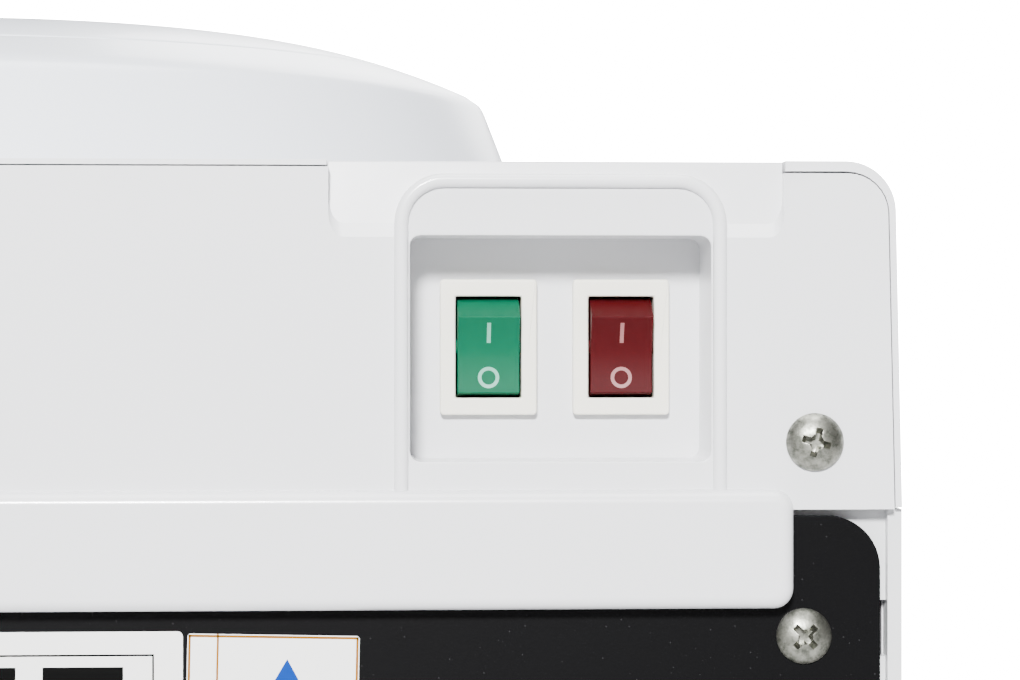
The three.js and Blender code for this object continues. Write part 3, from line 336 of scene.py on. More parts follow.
SLOT_MATERIALS = {
    "white_plastic": WHITE, "dome_plastic": DOME, "painted_steel": WHITE_COAT, "black_plate": BLACK_COAT,
    "grey_plastic": GREY, "ivory_plastic": IVORY, "green_plastic": GREEN, "red_plastic": RED,
    "blue_plastic": BLUE, "amber_plastic": AMBER, "stainless": STAINLESS, "zinc_screw": ZINC,
    "aluminium": ALUMINIUM, "foam": FOAM, "silicone": SILICONE, "rubber": RUBBER, "circuit_board": BOARD,
    "ceramic": CERAMIC, "dark_plastic": DARK,
}
NODE_SLOTS = {row["node"]: row["material_slot"] for row in frame["record"]["subparts"]}


def dress_frame():
    """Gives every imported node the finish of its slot."""
    for name, obj in frame["nodes"].items():
        obj.data.materials.clear()
        obj.data.materials.append(SLOT_MATERIALS[NODE_SLOTS[name]])


# ---------- modelling by hand: blocks, turned shapes, bevels and cuts ----------

def deselect_all():
    bpy.ops.object.select_all(action="DESELECT")


def make_active(piece):
    deselect_all()
    piece.select_set(True)
    bpy.context.view_layer.objects.active = piece


def block(name, low, high):
    """A box between two corners in millimetres, with its place in its mesh."""
    deselect_all()
    middle = [(a + b) / 2 * MM for a, b in zip(low, high)]
    bpy.ops.mesh.primitive_cube_add(size=1, location=middle)
    piece = bpy.context.object
    piece.name = name
    piece.scale = [(b - a) * MM for a, b in zip(low, high)]
    bpy.ops.object.transform_apply(location=True, rotation=True, scale=True)
    return piece


def barrel(name, centre, radius, depth, axis="Y", sides=48):
    """A plain cylinder in millimetres, along one axis."""
    deselect_all()
    turns = {"X": (0, math.pi / 2, 0), "Y": (math.pi / 2, 0, 0), "Z": (0, 0, 0)}
    bpy.ops.mesh.primitive_cylinder_add(vertices=sides, radius=radius * MM, depth=depth * MM,
                                        location=[c * MM for c in centre], rotation=turns[axis])
    piece = bpy.context.object
    piece.name = name
    bpy.ops.object.transform_apply(location=True, rotation=True, scale=True)
    return piece


def edit(piece, kind):
    """Opens a piece for editing with nothing selected, and returns its mesh in edit mode."""
    make_active(piece)
    bpy.ops.object.mode_set(mode="EDIT")
    bpy.ops.mesh.select_mode(type=kind)
    bpy.ops.mesh.select_all(action="DESELECT")
    return bmesh.from_edit_mesh(piece.data)


def close_edit():
    bpy.ops.object.mode_set(mode="OBJECT")


def round_edges(piece, radius, wanted, segments=6):
    """Rounds the edges that wanted(middle, direction) picks: a point in millimetres and a unit vector."""
    mesh = edit(piece, "EDGE")
    for edge in mesh.edges:
        a, b = (v.co / MM for v in edge.verts)
        edge.select = wanted((a + b) / 2, (b - a).normalized())
    bmesh.update_edit_mesh(piece.data)
    bpy.ops.mesh.bevel(offset=radius * MM, segments=segments, profile=0.5, affect="EDGES", clamp_overlap=True)
    close_edit()


def move_points(piece, wanted, shift):
    """Moves the corners that wanted(point) picks by shift, in millimetres."""
    mesh = edit(piece, "VERT")
    for v in mesh.verts:
        v.select = wanted(v.co / MM)
    bmesh.update_edit_mesh(piece.data)
    bpy.ops.transform.translate(value=[s * MM for s in shift])
    close_edit()


def combine(piece, tool, operation="DIFFERENCE"):
    """Cuts a tool from a piece, or fuses it on, and throws the tool away."""
    make_active(piece)
    modifier = piece.modifiers.new("combine", "BOOLEAN")
    modifier.operation = operation
    modifier.solver = "EXACT"
    modifier.object = tool
    bpy.ops.object.modifier_apply(modifier=modifier.name)
    bpy.data.objects.remove(tool)


def soften(piece, width, segments=3, angle=25):
    """Breaks every sharp edge with a small round, as a mould or a press does."""
    make_active(piece)
    modifier = piece.modifiers.new("soften", "BEVEL")
    modifier.width = width * MM
    modifier.segments = segments
    modifier.limit_method = "ANGLE"
    modifier.angle_limit = math.radians(angle)
    modifier.harden_normals = False
    modifier.use_clamp_overlap = True
    bpy.ops.object.modifier_apply(modifier=modifier.name)


def smooth(piece, angle=35):
    """Smooth shading that keeps the large faces flat and lets only the rounded edges turn."""
    make_active(piece)
    bpy.ops.object.shade_smooth_by_angle(angle=math.radians(angle))
    modifier = piece.modifiers.new("weighting", "WEIGHTED_NORMAL")
    modifier.keep_sharp = True
    modifier.weight = 100
    bpy.ops.object.modifier_apply(modifier=modifier.name)


def path(name, points):
    """A line through points in millimetres, drawn by extruding one corner from place to place."""
    deselect_all()
    bpy.ops.mesh.primitive_plane_add(size=MM)
    piece = bpy.context.object
    piece.name = name
    bpy.ops.object.mode_set(mode="EDIT")
    bpy.ops.mesh.select_mode(type="VERT")
    bpy.ops.mesh.select_all(action="SELECT")
    bpy.ops.mesh.merge(type="CENTER")
    bpy.ops.transform.translate(value=[c * MM for c in points[0]])
    for before, after in zip(points, points[1:]):
        step = [(b - a) * MM for a, b in zip(before, after)]
        bpy.ops.mesh.extrude_region_move(TRANSFORM_OT_translate={"value": step})
    return piece


def turned(name, profile, at=(0, 0), steps=96, axis="Z"):
    """Spins an open profile, given as radius and height in millimetres, into a closed shape about an axis.

    The profile starts and ends on the axis, or its last point meets its first. For Z, at is x and y.
    For Y, at is x and z, and height runs along Y.
    """
    if axis == "Z":
        points = [(at[0] + r, at[1], z) for r, z in profile]
        centre = (at[0] * MM, at[1] * MM, 0)
        about = (0, 0, 1)
    else:
        points = [(at[0] + r, z, at[1]) for r, z in profile]
        centre = (at[0] * MM, 0, at[1] * MM)
        about = (0, 1, 0)
    piece = path(name, points)
    bpy.ops.mesh.select_all(action="SELECT")
    bpy.ops.mesh.spin(steps=steps, angle=TURN, center=centre, axis=about)
    bpy.ops.mesh.select_all(action="SELECT")
    bpy.ops.mesh.remove_doubles(threshold=0.0005 * MM)
    bpy.ops.mesh.normals_make_consistent(inside=False)
    close_edit()
    return piece


def prism(name, outline, depth):
    """Fills an outline of points in millimetres and extrudes it by a vector."""
    piece = path(name, outline)
    bpy.ops.mesh.select_all(action="SELECT")
    bpy.ops.mesh.edge_face_add()
    bpy.ops.mesh.extrude_region_move(TRANSFORM_OT_translate={"value": [d * MM for d in depth]})
    bpy.ops.mesh.select_all(action="SELECT")
    bpy.ops.mesh.normals_make_consistent(inside=False)
    close_edit()
    return piece


def fuse(pieces, name):
    """Joins finished pieces of one part into one object."""
    deselect_all()
    for piece in pieces:
        piece.select_set(True)
    bpy.context.view_layer.objects.active = pieces[0]
    if len(pieces) > 1:
        bpy.ops.object.join()
    pieces[0].name = name
    return pieces[0]


def install(piece, finish, nodes=(), body="housing", angle=35):
    """Gives a finished piece its material and body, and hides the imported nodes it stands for."""
    smooth(piece, angle)
    piece.data.materials.clear()
    piece.data.materials.append(finish)
    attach(piece, body)
    if nodes:
        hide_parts(*nodes)
    return piece


def box_mm(node):
    """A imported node's lowest and highest corners in millimetres."""
    low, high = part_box(node)
    return [c / MM for c in low], [c / MM for c in high]


def arc(centre, radius, start, end, count):
    """Points of an arc in a plane, from start to end in degrees."""
    steps = [math.radians(start + (end - start) * i / count) for i in range(count + 1)]
    return [(centre[0] + radius * math.cos(a), centre[1] + radius * math.sin(a)) for a in steps]


def lies_along(direction, axis):
    return abs(direction["XYZ".index(axis)]) > 0.99


# ---------- named sizes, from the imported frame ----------

_, (HALF_W, _, TOP) = box_mm("top_cover")
(_, _, COVER_FOOT), (_, BULGE, _) = box_mm("rear_cover")
REAR = 150.0
COVER_BACK = REAR - 4
PLATE_FACE = box_mm("back_plate")[1][1] + 0.02
WALL = 2.5
TAPER = 1.1  # how much narrower each side of the head is at its top
LIP = 1.9  # rim of the head around the rear cover
BEZELS = {use: box_mm(f"{use}_switch_bezel") for use in ("cooling", "heating")}
BEZEL_RISE = 0.2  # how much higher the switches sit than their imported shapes
SWITCH_Z = (BEZELS["cooling"][0][2] + BEZELS["cooling"][1][2]) / 2 + BEZEL_RISE
SWITCH_X = {use: (low[0] + high[0]) / 2 for use, (low, high) in BEZELS.items()}
RECESS_X = sum(SWITCH_X.values()) / 2
RECESS_HALF = 22.7
RECESS_Z = (TOP - 45.4, TOP - 11.4)
RECESS_FLOOR = REAR - 15
NOTCH_X = (-137.4, -68.7)
NOTCH_Z = TOP - 10
BAR_HALF = 138.6
BAR_TOP = 348.8
HOOD_HALF = 25.05
HOOD_TOP = TOP - 2.1
HOOD_CORNER = 7.5
BEAD_W = 2.1
BEAD_FOOT = BAR_TOP + 0.8
PIVOT_Y = 133.0
ROCKER_TILT = 12.0
ROCKER_HALF = 4.8
DRUM_R = 7.67
ON_MARK_Z = 2.2  # above the middle of the switch
OFF_MARK_Z = -4.7
COVER_SCREW = (142.0, 357.5)  # x and z
PLATE_SCREW_X = 140.7
PLATE_SCREW_Z = {"upper": 328.0, "lower": 60.0}
PRINT = 0.03  # thickness of printed ink
CREST = TOP + 32
RIM = TOP + 19.4
RIM_R = 98.8
CREST_R = 45.0
SEAM_R = 84.0
NECK_R = 29.5


# ---------- rear cover ----------

def arch(half, corner, low, high):
    """An upright arch around the switches: x from the middle, z from low to high, with round top corners."""
    left, right = RECESS_X + half, RECESS_X - half
    return ([(left, low)] + arc((left - corner, high - corner), corner, 0, 90, 8)
            + arc((right + corner, high - corner), corner, 90, 180, 8) + [(right, low)])


def rear_cover_shell():
    """The cover plate with its notched top, and the hood with the switch recess."""
    rim = HALF_W - LIP
    plate = block("cover_plate", (-rim, COVER_BACK, BAR_TOP - 1.5), (rim, REAR, TOP - LIP))
    for side in (-1, 1):
        move_points(plate, lambda p: p.x * side > 1 and p.z < TOP - 10, (side * TAPER, 0, 0))
    round_edges(plate, 6.0, lambda m, d: lies_along(d, "Y") and m.z > TOP - LIP - 1, 8)
    step = block("higher_part", (NOTCH_X[1], COVER_BACK, TOP - 20), (rim - 12, REAR, TOP - 1.1))
    combine(plate, step, "UNION")
    step = block("notch_wall", (NOTCH_X[0], COVER_BACK, TOP - 20), (NOTCH_X[1], REAR, TOP - 0.3))
    combine(plate, step, "UNION")
    ledge = NOTCH_Z + 0.5
    slope = [(REAR + 0.6, ledge - 2.9), (REAR - 1.7, ledge), (REAR - 3.2, TOP + 5), (REAR + 0.6, TOP + 5)]
    notch = prism("notch", [(NOTCH_X[0], y, z) for y, z in slope], (NOTCH_X[1] - NOTCH_X[0], 0, 0))
    round_edges(notch, 2.2, lambda m, d: abs(d.x) < 0.1 and m.z < ledge and m.y < REAR + 0.5)
    combine(plate, notch)
    hood = prism("hood", [(x, COVER_BACK, z) for x, z in arch(HOOD_HALF, HOOD_CORNER, BAR_TOP, HOOD_TOP)],
                 (0, REAR - COVER_BACK, 0))
    combine(plate, hood, "UNION")
    box = block("recess_box", (RECESS_X - RECESS_HALF - 2.2, RECESS_FLOOR - 2, RECESS_Z[0] - 2.2),
                (RECESS_X + RECESS_HALF + 2.2, COVER_BACK + 1, RECESS_Z[1] + 2.2))
    combine(plate, box, "UNION")
    pocket = block("pocket", (RECESS_X - RECESS_HALF, RECESS_FLOOR, RECESS_Z[0]),
                   (RECESS_X + RECESS_HALF, REAR + 5, RECESS_Z[1]))
    round_edges(pocket, 1.6, lambda m, d: lies_along(d, "Y"), 4)
    combine(plate, pocket)
    for x in SWITCH_X.values():
        window = block("window", (x - 6.5, RECESS_FLOOR - 9, SWITCH_Z - 9.3),
                       (x + 6.5, RECESS_FLOOR + 1, SWITCH_Z + 9.3))
        combine(plate, window)
    return plate


def rear_cover_bar():
    """The thick bar along the foot of the cover, with round corners and rolled edges."""
    bar = block("bar", (-BAR_HALF, REAR - 2.1, COVER_FOOT), (BAR_HALF, BULGE, BAR_TOP + 1.6))
    round_edges(bar, 3.0, lambda m, d: lies_along(d, "Y"), 8)
    round_edges(bar, 2.0, lambda m, d: m.y > BULGE - 0.05 and d.y * d.y < 0.5, 7)
    return bar


def build_rear_cover():
    shell = rear_cover_shell()
    for side in (-1, 1):
        combine(shell, barrel("screw_hole", (side * COVER_SCREW[0], REAR, COVER_SCREW[1]), 2.3, 20))
    inside_x, inside_z = RECESS_HALF + 0.1, (RECESS_Z[0] - 0.1, RECESS_Z[1] + 0.1)
    round_edges(shell, 0.9, lambda m, d: m.y > REAR - 0.05 and abs(m.x - RECESS_X) < inside_x
                and inside_z[0] < m.z < inside_z[1])
    soften(shell, 0.45, 3, 30)
    bar = rear_cover_bar()
    outer = arch(HOOD_HALF, HOOD_CORNER, BEAD_FOOT, HOOD_TOP)
    inner = arch(HOOD_HALF - BEAD_W, HOOD_CORNER - BEAD_W, BEAD_FOOT, HOOD_TOP - BEAD_W)
    bead = prism("bead", [(x, REAR - 0.8, z) for x, z in outer + inner[::-1]], (0, 2.0, 0))
    soften(bead, 0.95, 5, 30)
    cover = fuse([shell, bar, bead], "rear_cover_with_switch_recess")
    install(cover, WHITE, ["rear_cover"], angle=40)


# ---------- rocker switches ----------

def rocker_outline(grow=0.0):
    """The rocker from its side, in y and z: two ridges, a hollow face between them, and a drum behind."""
    face = [(5.77, 6.03), (5.05, 4.2), (4.58, 2.4), (4.35, 0.9), (4.3, 0.0)]
    face = face + [(y, -z) for y, z in face[-2::-1]]
    back = arc((0, 0), DRUM_R, -76, -284, 24)
    points = [(y + grow, z) for y, z in face] + [(2.2 + grow, -7.35)] + back + [(2.2 + grow, 7.35)]
    tilt = math.radians(-ROCKER_TILT)
    turned_points = []
    for y, z in points:
        turned_points.append((PIVOT_Y + y * math.cos(tilt) - z * math.sin(tilt),
                              SWITCH_Z + y * math.sin(tilt) + z * math.cos(tilt)))
    return turned_points


def build_switch(use, colour, print_colour):
    """A rocker switch: ivory bezel, tinted rocker resting at off, its on and off marks, and a dark switch body
    behind the rocker that also paints the shade in the deep gaps around it.
    """
    x = SWITCH_X[use]
    low, high = BEZELS[use]
    flange = block(f"{use}_switch_bezel", (low[0], RECESS_FLOOR + 0.05, low[2] + BEZEL_RISE),
                   (high[0], high[1], high[2] + BEZEL_RISE))
    round_edges(flange, 0.6, lambda m, d: lies_along(d, "Y"), 4)
    sleeve = block("sleeve", (x - 6.2, low[1], SWITCH_Z - 9.0),
                   (x + 6.2, RECESS_FLOOR + 0.5, SWITCH_Z + 9.0))
    combine(flange, sleeve, "UNION")
    opening = block("opening", (x - 5.1, low[1] - 5, SWITCH_Z - 7.85),
                    (x + 5.1, high[1] + 5, SWITCH_Z + 7.85))
    combine(flange, opening)
    soften(flange, 0.3, 3)
    install(flange, IVORY, [f"{use}_switch_bezel"])

    rocker = prism("rocker", [(x - ROCKER_HALF, y, z) for y, z in rocker_outline()],
                   (2 * ROCKER_HALF, 0, 0))
    soften(rocker, 0.22, 3, 28)
    hub = barrel("hub", (x, PIVOT_Y + 2.4, SWITCH_Z), 1.1, 2 * ROCKER_HALF + 0.36, "X", 20)
    fuse([rocker, hub], f"{use}_rocker")
    install(rocker, colour, [f"{use}_rocker"], f"{use}_rocker", 30)

    on_z, off_z = SWITCH_Z + ON_MARK_Z, SWITCH_Z + OFF_MARK_Z
    bar = block("on_mark", (x - 0.3, PIVOT_Y, on_z - 1.55), (x + 0.3, PIVOT_Y + 12, on_z + 1.55))
    ring = barrel("off_mark", (x, PIVOT_Y + 6, off_z), 1.65, 12)
    combine(ring, barrel("off_mark_hole", (x, PIVOT_Y + 6, off_z), 1.1, 20))
    marks = fuse([bar, ring], f"{use}_on_and_off_marks")
    skin = prism("skin", [(x - ROCKER_HALF + 0.5, y, z) for y, z in rocker_outline(0.05)],
                 (2 * ROCKER_HALF - 1, 0, 0))
    combine(marks, skin, "INTERSECT")
    move_points(marks, lambda p: p.y < PIVOT_Y + 2, (0, 2, 0))
    install(marks, print_colour, (), f"{use}_rocker")

    # A dark switch body plugs the sleeve behind the rocker. It stands for the switch's dark body, and it is
    # also painted shade that darkens the deep gaps around the rocker.
    core = block(f"{use}_switch_body_and_painted_gap_shade", (x - 4.9, low[1] + 0.2, SWITCH_Z - 7.6),
                 (x + 4.9, low[1] + 1.6, SWITCH_Z + 7.6))
    soften(core, 0.3, 2)
    install(core, DARK)


# ---------- screws ----------

def truss_screw(name, centre, seat, radius, height, turn, shank):
    """A truss head screw with a cross recess. Centre is x and z; the head sits on seat, facing the rear."""
    x, z = centre
    dome = [(radius * math.sin(math.radians(a)) / math.sin(math.radians(72)),
             seat + 0.45 + (height - 0.45) * (math.cos(math.radians(a)) - math.cos(math.radians(72)))
             / (1 - math.cos(math.radians(72)))) for a in range(0, 73, 6)]
    profile = [(0, seat - shank), (1.6, seat - shank), (1.75, seat - shank + 1), (1.75, seat), (radius, seat)]
    profile += [(r, y) for r, y in dome[::-1]]
    profile[-1] = (0, profile[-1][1])
    profile.append((0, seat - shank))
    head = turned(name, profile[:-1], (x, z), 64, "Y")
    arms = []
    for k in range(2):
        arm = block("arm", (x - 2.9, seat + height - 2.0, z - 0.6), (x + 2.9, seat + height + 1, z + 0.6))
        move_points(arm, lambda p: p.y < seat + height and p.x > x, (-1.5, 0, 0))
        move_points(arm, lambda p: p.y < seat + height and p.x < x, (1.5, 0, 0))
        move_points(arm, lambda p: p.y < seat + height and p.z > z, (0, 0, -0.2))
        move_points(arm, lambda p: p.y < seat + height and p.z < z, (0, 0, 0.2))
        make_active(arm)
        bpy.ops.object.mode_set(mode="EDIT")
        bpy.ops.mesh.select_all(action="SELECT")
        bpy.ops.transform.rotate(value=math.radians(turn + 90 * k), orient_axis="Y", orient_type="GLOBAL",
                                 center_override=(x * MM, 0, z * MM))
        close_edit()
        arms.append(arm)
    bowl = turned("bowl", [(0, seat + height - 2.0), (0.7, seat + height - 1.7), (1.25, seat + height + 0.4),
                           (0, seat + height + 0.4)], (x, z), 24, "Y")
    for tool in arms + [bowl]:
        combine(head, tool)
    soften(head, 0.09, 2, 40)
    return head


def build_screws():
    for side, sign in (("left", -1), ("right", 1)):
        head = truss_screw(f"{side}_cover_screw", (sign * COVER_SCREW[0], COVER_SCREW[1]), REAR + 0.05,
                           4.37, 2.3, -15 * sign, 9)
        install(head, ZINC, [f"cover_screw_{side}"], angle=30)
        for height, turn, nodes in (("upper", 45, [f"plate_screw_{side}"]), ("lower", 20 * sign, [])):
            head = truss_screw(f"{side}_{height}_plate_screw", (sign * PLATE_SCREW_X, PLATE_SCREW_Z[height]),
                               PLATE_FACE, 4.2, 2.2, turn, 7)
            install(head, ZINC, nodes, angle=30)


# ---------- printed labels on the back plate ----------

def flat_patch(name, x_range, z_range, thickness, lift=0.0):
    """A thin rectangle on the back plate's face."""
    return block(name, (x_range[0], PLATE_FACE + lift, z_range[0]),
                 (x_range[1], PLATE_FACE + lift + thickness, z_range[1]))


def tilt_about(piece, centre, degrees):
    make_active(piece)
    bpy.ops.object.mode_set(mode="EDIT")
    bpy.ops.mesh.select_all(action="SELECT")
    bpy.ops.transform.rotate(value=math.radians(degrees), orient_axis="Y", orient_type="GLOBAL",
                             center_override=(centre[0] * MM, 0, centre[1] * MM))
    close_edit()


def frame_of_bars(name, x_range, z_range, width, lift):
    """A printed border made of four thin bars."""
    (x0, x1), (z0, z1) = x_range, z_range
    sides = [((x0, x1), (z1 - width, z1)), ((x0, x1), (z0, z0 + width)),
             ((x0, x0 + width), (z0, z1)), ((x1 - width, x1), (z0, z1))]
    return [flat_patch(name, across, up, PRINT, lift) for across, up in sides]


def build_rating_label():
    """A rating plate label with plain bars where its lines of writing would be."""
    x0, x1, z0, z1 = -46.9, 47.0, 284.4, 329.2
    paper = flat_patch("rating_label", (x0, x1), (z0, z1), 0.12)
    round_edges(paper, 0.8, lambda m, d: lies_along(d, "Y"), 4)
    install(paper, PAPER)
    ink = frame_of_bars("border", (x0 + 4.3, x1 - 4.3), (z0 + 3.4, z1 - 3.4), 0.28, 0.115)
    lines = [((-22, 37), z1 - 5.3, 2.3), ((-38, -26), z1 - 5.3, 2.3), ((-24, 22), z1 - 9.1, 2.3)]
    for row in range(6):
        z = z1 - 16 - 3.8 * row
        lines += [((-38, -16 - 3 * (row % 3)), z, 1.2), ((-8, 16 + 5 * (row % 2)), z, 1.2)]
    ink += [flat_patch("line", across, (z - height, z), PRINT, 0.115) for across, z, height in lines]
    install(fuse(ink, "rating_label_print"), INK)


def build_water_label():
    """A small label, stuck on a little crooked, with an ochre border and a plain water drop."""
    x0, x1, z0, z1 = -73.4, -47.6, 299.0, 328.6
    centre = ((x0 + x1) / 2, z1)
    paper = flat_patch("water_label", (x0, x1), (z0, z1), 0.1)
    round_edges(paper, 0.5, lambda m, d: lies_along(d, "Y"), 4)
    tilt_about(paper, centre, 1.2)
    install(paper, PAPER)
    gold = frame_of_bars("border", (x0 + 0.15, x1 - 0.15), (z0 + 0.15, z1 - 0.15), 0.35, 0.095)
    gold.append(flat_patch("divider", (-52.3, -52.0), (z0, z1), PRINT, 0.095))
    border = fuse(gold, "water_label_border")
    tilt_about(border, centre, 1.2)
    install(border, GOLD_INK)
    middle = (-62.6, 314.0)
    outline = [(middle[0], z1 - 3.6)]
    outline += [(middle[0] + px, middle[1] - 1.2 + pz) for px, pz in arc((0, 0), 6.0, 28, -208, 28)]
    drop = prism("water_drop", [(px, PLATE_FACE + 0.095, pz) for px, pz in outline], (0, PRINT, 0))
    tilt_about(drop, centre, 1.2)
    install(drop, BLUE_INK)


# ---------- head: top cover, collar and bottle seat ----------

def build_top_cover():
    """The white head: long round edges, open behind and below, with the round mouth for the bottle seat."""
    (x0, y0, z0), (x1, y1, z1) = box_mm("top_cover")
    lip = y1 + 3.4
    head = block("head", (x0, y0, z0), (x1, lip, z1))
    for side in (-1, 1):
        move_points(head, lambda p: p.x * side > 1 and p.z < z1 - 1, (side * TAPER / 2, 0, 0))
        move_points(head, lambda p: p.x * side > 1 and p.z > z1 - 1, (-side * TAPER / 2, 0, 0))
    round_edges(head, 7.5, lambda m, d: lies_along(d, "Y") and m.z > z1 - 1, 12)
    round_edges(head, 11.0, lambda m, d: abs(d.z) > 0.9 and m.y < y0 + 1, 12)
    inside = block("inside", (x0 + WALL, y0 + WALL, z0 - 5), (x1 - WALL, y1 + 5, z1 - WALL))
    round_edges(inside, 5.0, lambda m, d: lies_along(d, "Y") and m.z > z1 - WALL - 1, 8)
    round_edges(inside, 8.5, lambda m, d: abs(d.z) > 0.9 and m.y < y0 + WALL + 1, 8)
    combine(head, inside)
    rebate = block("rebate", (x0 + LIP - 0.35, y1, z0 - 0.4), (x1 - LIP + 0.35, lip + 5, z1 - LIP + 0.35))
    for side in (-1, 1):
        move_points(rebate, lambda p: p.x * side > 1 and p.z < z1 - 10, (side * TAPER, 0, 0))
    round_edges(rebate, 6.35, lambda m, d: lies_along(d, "Y") and m.z > z1 - LIP - 1, 8)
    combine(head, rebate)
    combine(head, block("higher_rebate", (NOTCH_X[1] - 0.3, y1, z1 - 10), (x1 - 12, lip + 5, z1 - 0.8)))
    combine(head, block("notch_in_the_rim", (NOTCH_X[0] - 0.3, y1, z1 - 10),
                        (NOTCH_X[1] + 0.3, lip + 5, z1 + 5)))
    combine(head, barrel("mouth", (0, 0, z1), 88, 30, "Z", 96))
    soften(head, 0.35, 3, 40)
    bosses = []
    across, height = COVER_SCREW
    for side in (-1, 1):
        boss = barrel("boss", (side * across, y1 - 10, height), 5, 20, "Y", 32)
        combine(boss, barrel("bore", (side * across, y1, height), 2.4, 24))
        near, far = sorted((side * (across + 4.5), side * (across + 12)))
        bosses += [boss, block("rib", (near, y1 - 20, height - 1), (far, y1, height + 1))]
    head = fuse([head] + bosses, "top_cover")
    install(head, WHITE, ["top_cover"], angle=40)


def crown(radius):
    """Height of the domed crown at a radius."""
    return CREST - (CREST - RIM) * (max(radius - CREST_R, 0) / (RIM_R - CREST_R)) ** 2


def crown_run(start, end, count):
    radii = [start + (end - start) * i / count for i in range(count + 1)]
    return [(r, crown(r)) for r in radii]


def build_collar():
    """The raised round collar: a leaning outer wall, a soft shoulder and a ledge for the bottle seat."""
    base = box_mm("collar_ring")[0][2]
    wall = [(105.5, base + 0.6), (104.9, base + 1.4)]
    wall += [(104.9 - 6.0 * t, base + 1.4 + (RIM - base - 3.2) * t ** 0.96)
             for t in (0.2, 0.4, 0.6, 0.8, 1.0)]
    shoulder = [(98.5, RIM - 0.9), (98.0, RIM - 0.1), (97.2, RIM + 0.45)]
    seam = crown(SEAM_R)
    profile = [(105.2, base)] + wall + shoulder + crown_run(96.0, SEAM_R + 0.5, 6)
    profile += [(SEAM_R + 0.12, seam - 0.15), (SEAM_R, seam - 0.5), (SEAM_R, seam - 8.0),
                (SEAM_R - 4, seam - 8.0), (SEAM_R - 4, seam - 10.5), (RIM_R - 5.5, seam - 10.5),
                (102.6, base), (105.2, base)]
    collar = turned("bottle_collar", profile, (0, 0), 144)
    install(collar, DOME, ["collar_ring"], angle=30)


def build_bottle_seat():
    """The domed seat for an upturned bottle, with its deep well and two drain holes in the floor."""
    floor = box_mm("bottle_seat")[0][2]
    edge = SEAM_R - 0.3
    top = crown_run(edge - 0.5, CREST_R, 14)
    lip = [(CREST_R - 2.5, CREST - 0.1), (CREST_R - 5, CREST - 0.9), (NECK_R + 8, CREST - 3.6),
           (NECK_R + 5, CREST - 8)]
    well = [(NECK_R + 2.6, TOP + 8), (NECK_R + 2, TOP), (NECK_R + 0.2, floor + 5.5),
            (NECK_R - 1.2, floor + 3.2), (NECK_R - 3.0, floor + WALL), (8.3, floor + WALL), (8.3, floor)]
    back = [(NECK_R + WALL - 1, floor), (NECK_R + WALL + 2, TOP), (NECK_R + WALL + 5, CREST - 10)]
    under = [(r, z - WALL) for r, z in crown_run(CREST_R, edge - WALL, 8)]
    rim = [(edge - WALL, crown(SEAM_R) - 7.7), (edge, crown(SEAM_R) - 7.7), (edge, crown(edge) - 0.55),
           (edge - 0.14, crown(edge) - 0.15)]
    profile = rim + top + lip + well + back + under
    seat = turned("bottle_seat", profile + [profile[0]], (0, 0), 144)
    for side in (-1, 1):
        combine(seat, barrel("drain", (side * 19, 0, floor), 4, 16, "Z", 32))
    install(seat, DOME, ["bottle_seat"], "bottle_seat", 30)


# ---------- the rest of the casing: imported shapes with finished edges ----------

def refined(node, name, slot, width, body="housing", shift=(0, 0, 0), cuts=()):
    """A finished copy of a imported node: its flat faces made whole, edges rounded by width in millimetres."""
    source = frame["nodes"][node]
    piece = source.copy()
    piece.data = source.data.copy()
    piece.parent = None
    piece.name = name
    piece.matrix_world = source.matrix_world.copy()
    bpy.context.scene.collection.objects.link(piece)
    make_active(piece)
    bpy.ops.object.transform_apply(location=True, rotation=True, scale=True)
    bpy.ops.object.mode_set(mode="EDIT")
    bpy.ops.mesh.select_all(action="SELECT")
    bpy.ops.mesh.remove_doubles(threshold=0.001 * MM)
    bpy.ops.mesh.dissolve_limited(angle_limit=math.radians(0.5))
    bpy.ops.mesh.normals_make_consistent(inside=False)
    bpy.ops.transform.translate(value=[c * MM for c in shift])
    close_edit()
    for tool in cuts:
        combine(piece, tool)
    soften(piece, width, 3, 38)
    install(piece, SLOT_MATERIALS[slot], [node], body, 38)


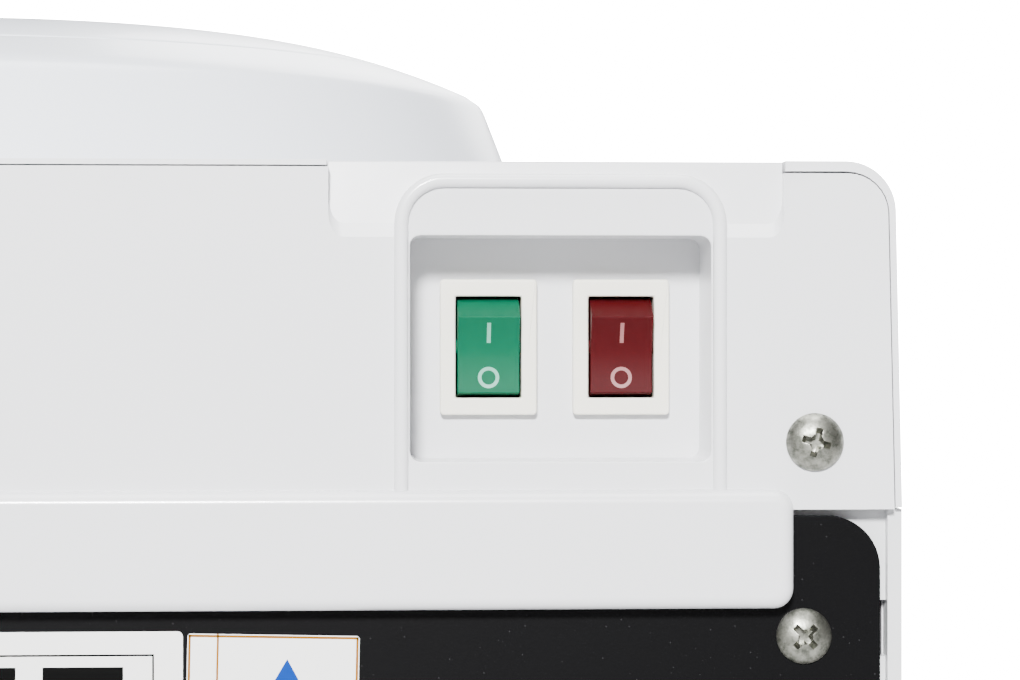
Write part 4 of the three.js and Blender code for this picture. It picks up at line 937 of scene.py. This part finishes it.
def build_service_plate():
    """The black plate behind: round corners, two sets of vents, and holes for drain, cord and screws."""
    low, high = box_mm("back_plate")
    plate = block("rear_service_plate", (low[0] - 0.6, low[1], low[2]), (high[0] + 0.6, high[1], high[2]))
    round_edges(plate, 8.0, lambda m, d: lies_along(d, "Y"), 12)
    fan_vents = [(33.0, 218.5 + 7 * i, 1.75) for i in range(10)]
    lower_vents = [(55.0, 96.0 + 8 * i, 2.0) for i in range(6)]
    for half, z, r in fan_vents + lower_vents:
        tool = block("slot", (-half, low[1] - 5, z - r), (half, high[1] + 5, z + r))
        round_edges(tool, r * 0.96, lambda m, d: lies_along(d, "Y"), 5)
        combine(plate, tool)
    for x, r in ((-95, 9.3), (100, 8.3)):
        combine(plate, barrel("hole", (x, high[1], 58), r, 30))
    for x in (-PLATE_SCREW_X, PLATE_SCREW_X):
        for z in (PLATE_SCREW_Z["lower"], PLATE_SCREW_Z["upper"]):
            combine(plate, barrel("screw_hole", (x, high[1], z), 2.2, 30, sides=24))
    soften(plate, 0.3, 3, 40)
    install(plate, BLACK_COAT, ["back_plate"])


def build_casing():
    for side, sign in (("left", -1), ("right", 1)):
        slit = block("slit", (sign * 153.2 - 0.6, 142.5, 324.6), (sign * 153.2 + 0.6, 146.5, 333.2))
        refined(f"side_panel_{side}", f"{side}_side_panel", "painted_steel", 0.5, shift=(sign * 0.8, 0, 0),
                cuts=[slit])
    build_service_plate()
    refined("front_panel", "front_panel", "white_plastic", 0.8)
    refined("base_pan", "base_pan", "grey_plastic", 0.7)
    for end in ("front", "rear"):
        for side in ("left", "right"):
            refined(f"foot_{end}_{side}", f"{end}_{side}_foot", "rubber", 0.4)
    for use in ("cold", "hot"):
        refined(f"{use}_tap_body", f"{use}_tap_body", "white_plastic", 0.5)
    refined("cold_tap_lever", "cold_tap_lever", "blue_plastic", 0.5, "cold_lever")
    refined("hot_tap_lever", "hot_tap_lever", "red_plastic", 0.5, "hot_lever")
    refined("hot_safety_catch", "hot_water_safety_catch", "white_plastic", 0.3, "safety_catch")
    for use in ("cold", "hot"):
        refined(f"{use}_lever_pin", f"{use}_lever_pin", "stainless", 0.15)
    for lens, slot in (("power", "amber_plastic"), ("heating", "red_plastic"), ("cooling", "green_plastic")):
        refined(f"{lens}_lens", f"{lens}_lens", slot, 0.3)
    refined("drip_tray", "drip_tray", "dark_plastic", 0.6, "drip_tray")
    refined("drip_grille", "drip_grille", "stainless", 0.25, "drip_grille")
    refined("drain_fitting", "drain_fitting", "dark_plastic", 0.3)
    refined("drain_cap", "drain_cap", "dark_plastic", 0.4, "drain_cap")
    refined("cord_gland", "cord_gland", "rubber", 0.3)


add_camera()
add_studio()
dress_frame()
build_rear_cover()
build_switch("cooling", GREEN, GREEN_MARK)
build_switch("heating", RED, RED_MARK)
build_screws()
build_rating_label()
build_water_label()
build_top_cover()
build_collar()
build_bottle_seat()
build_casing()
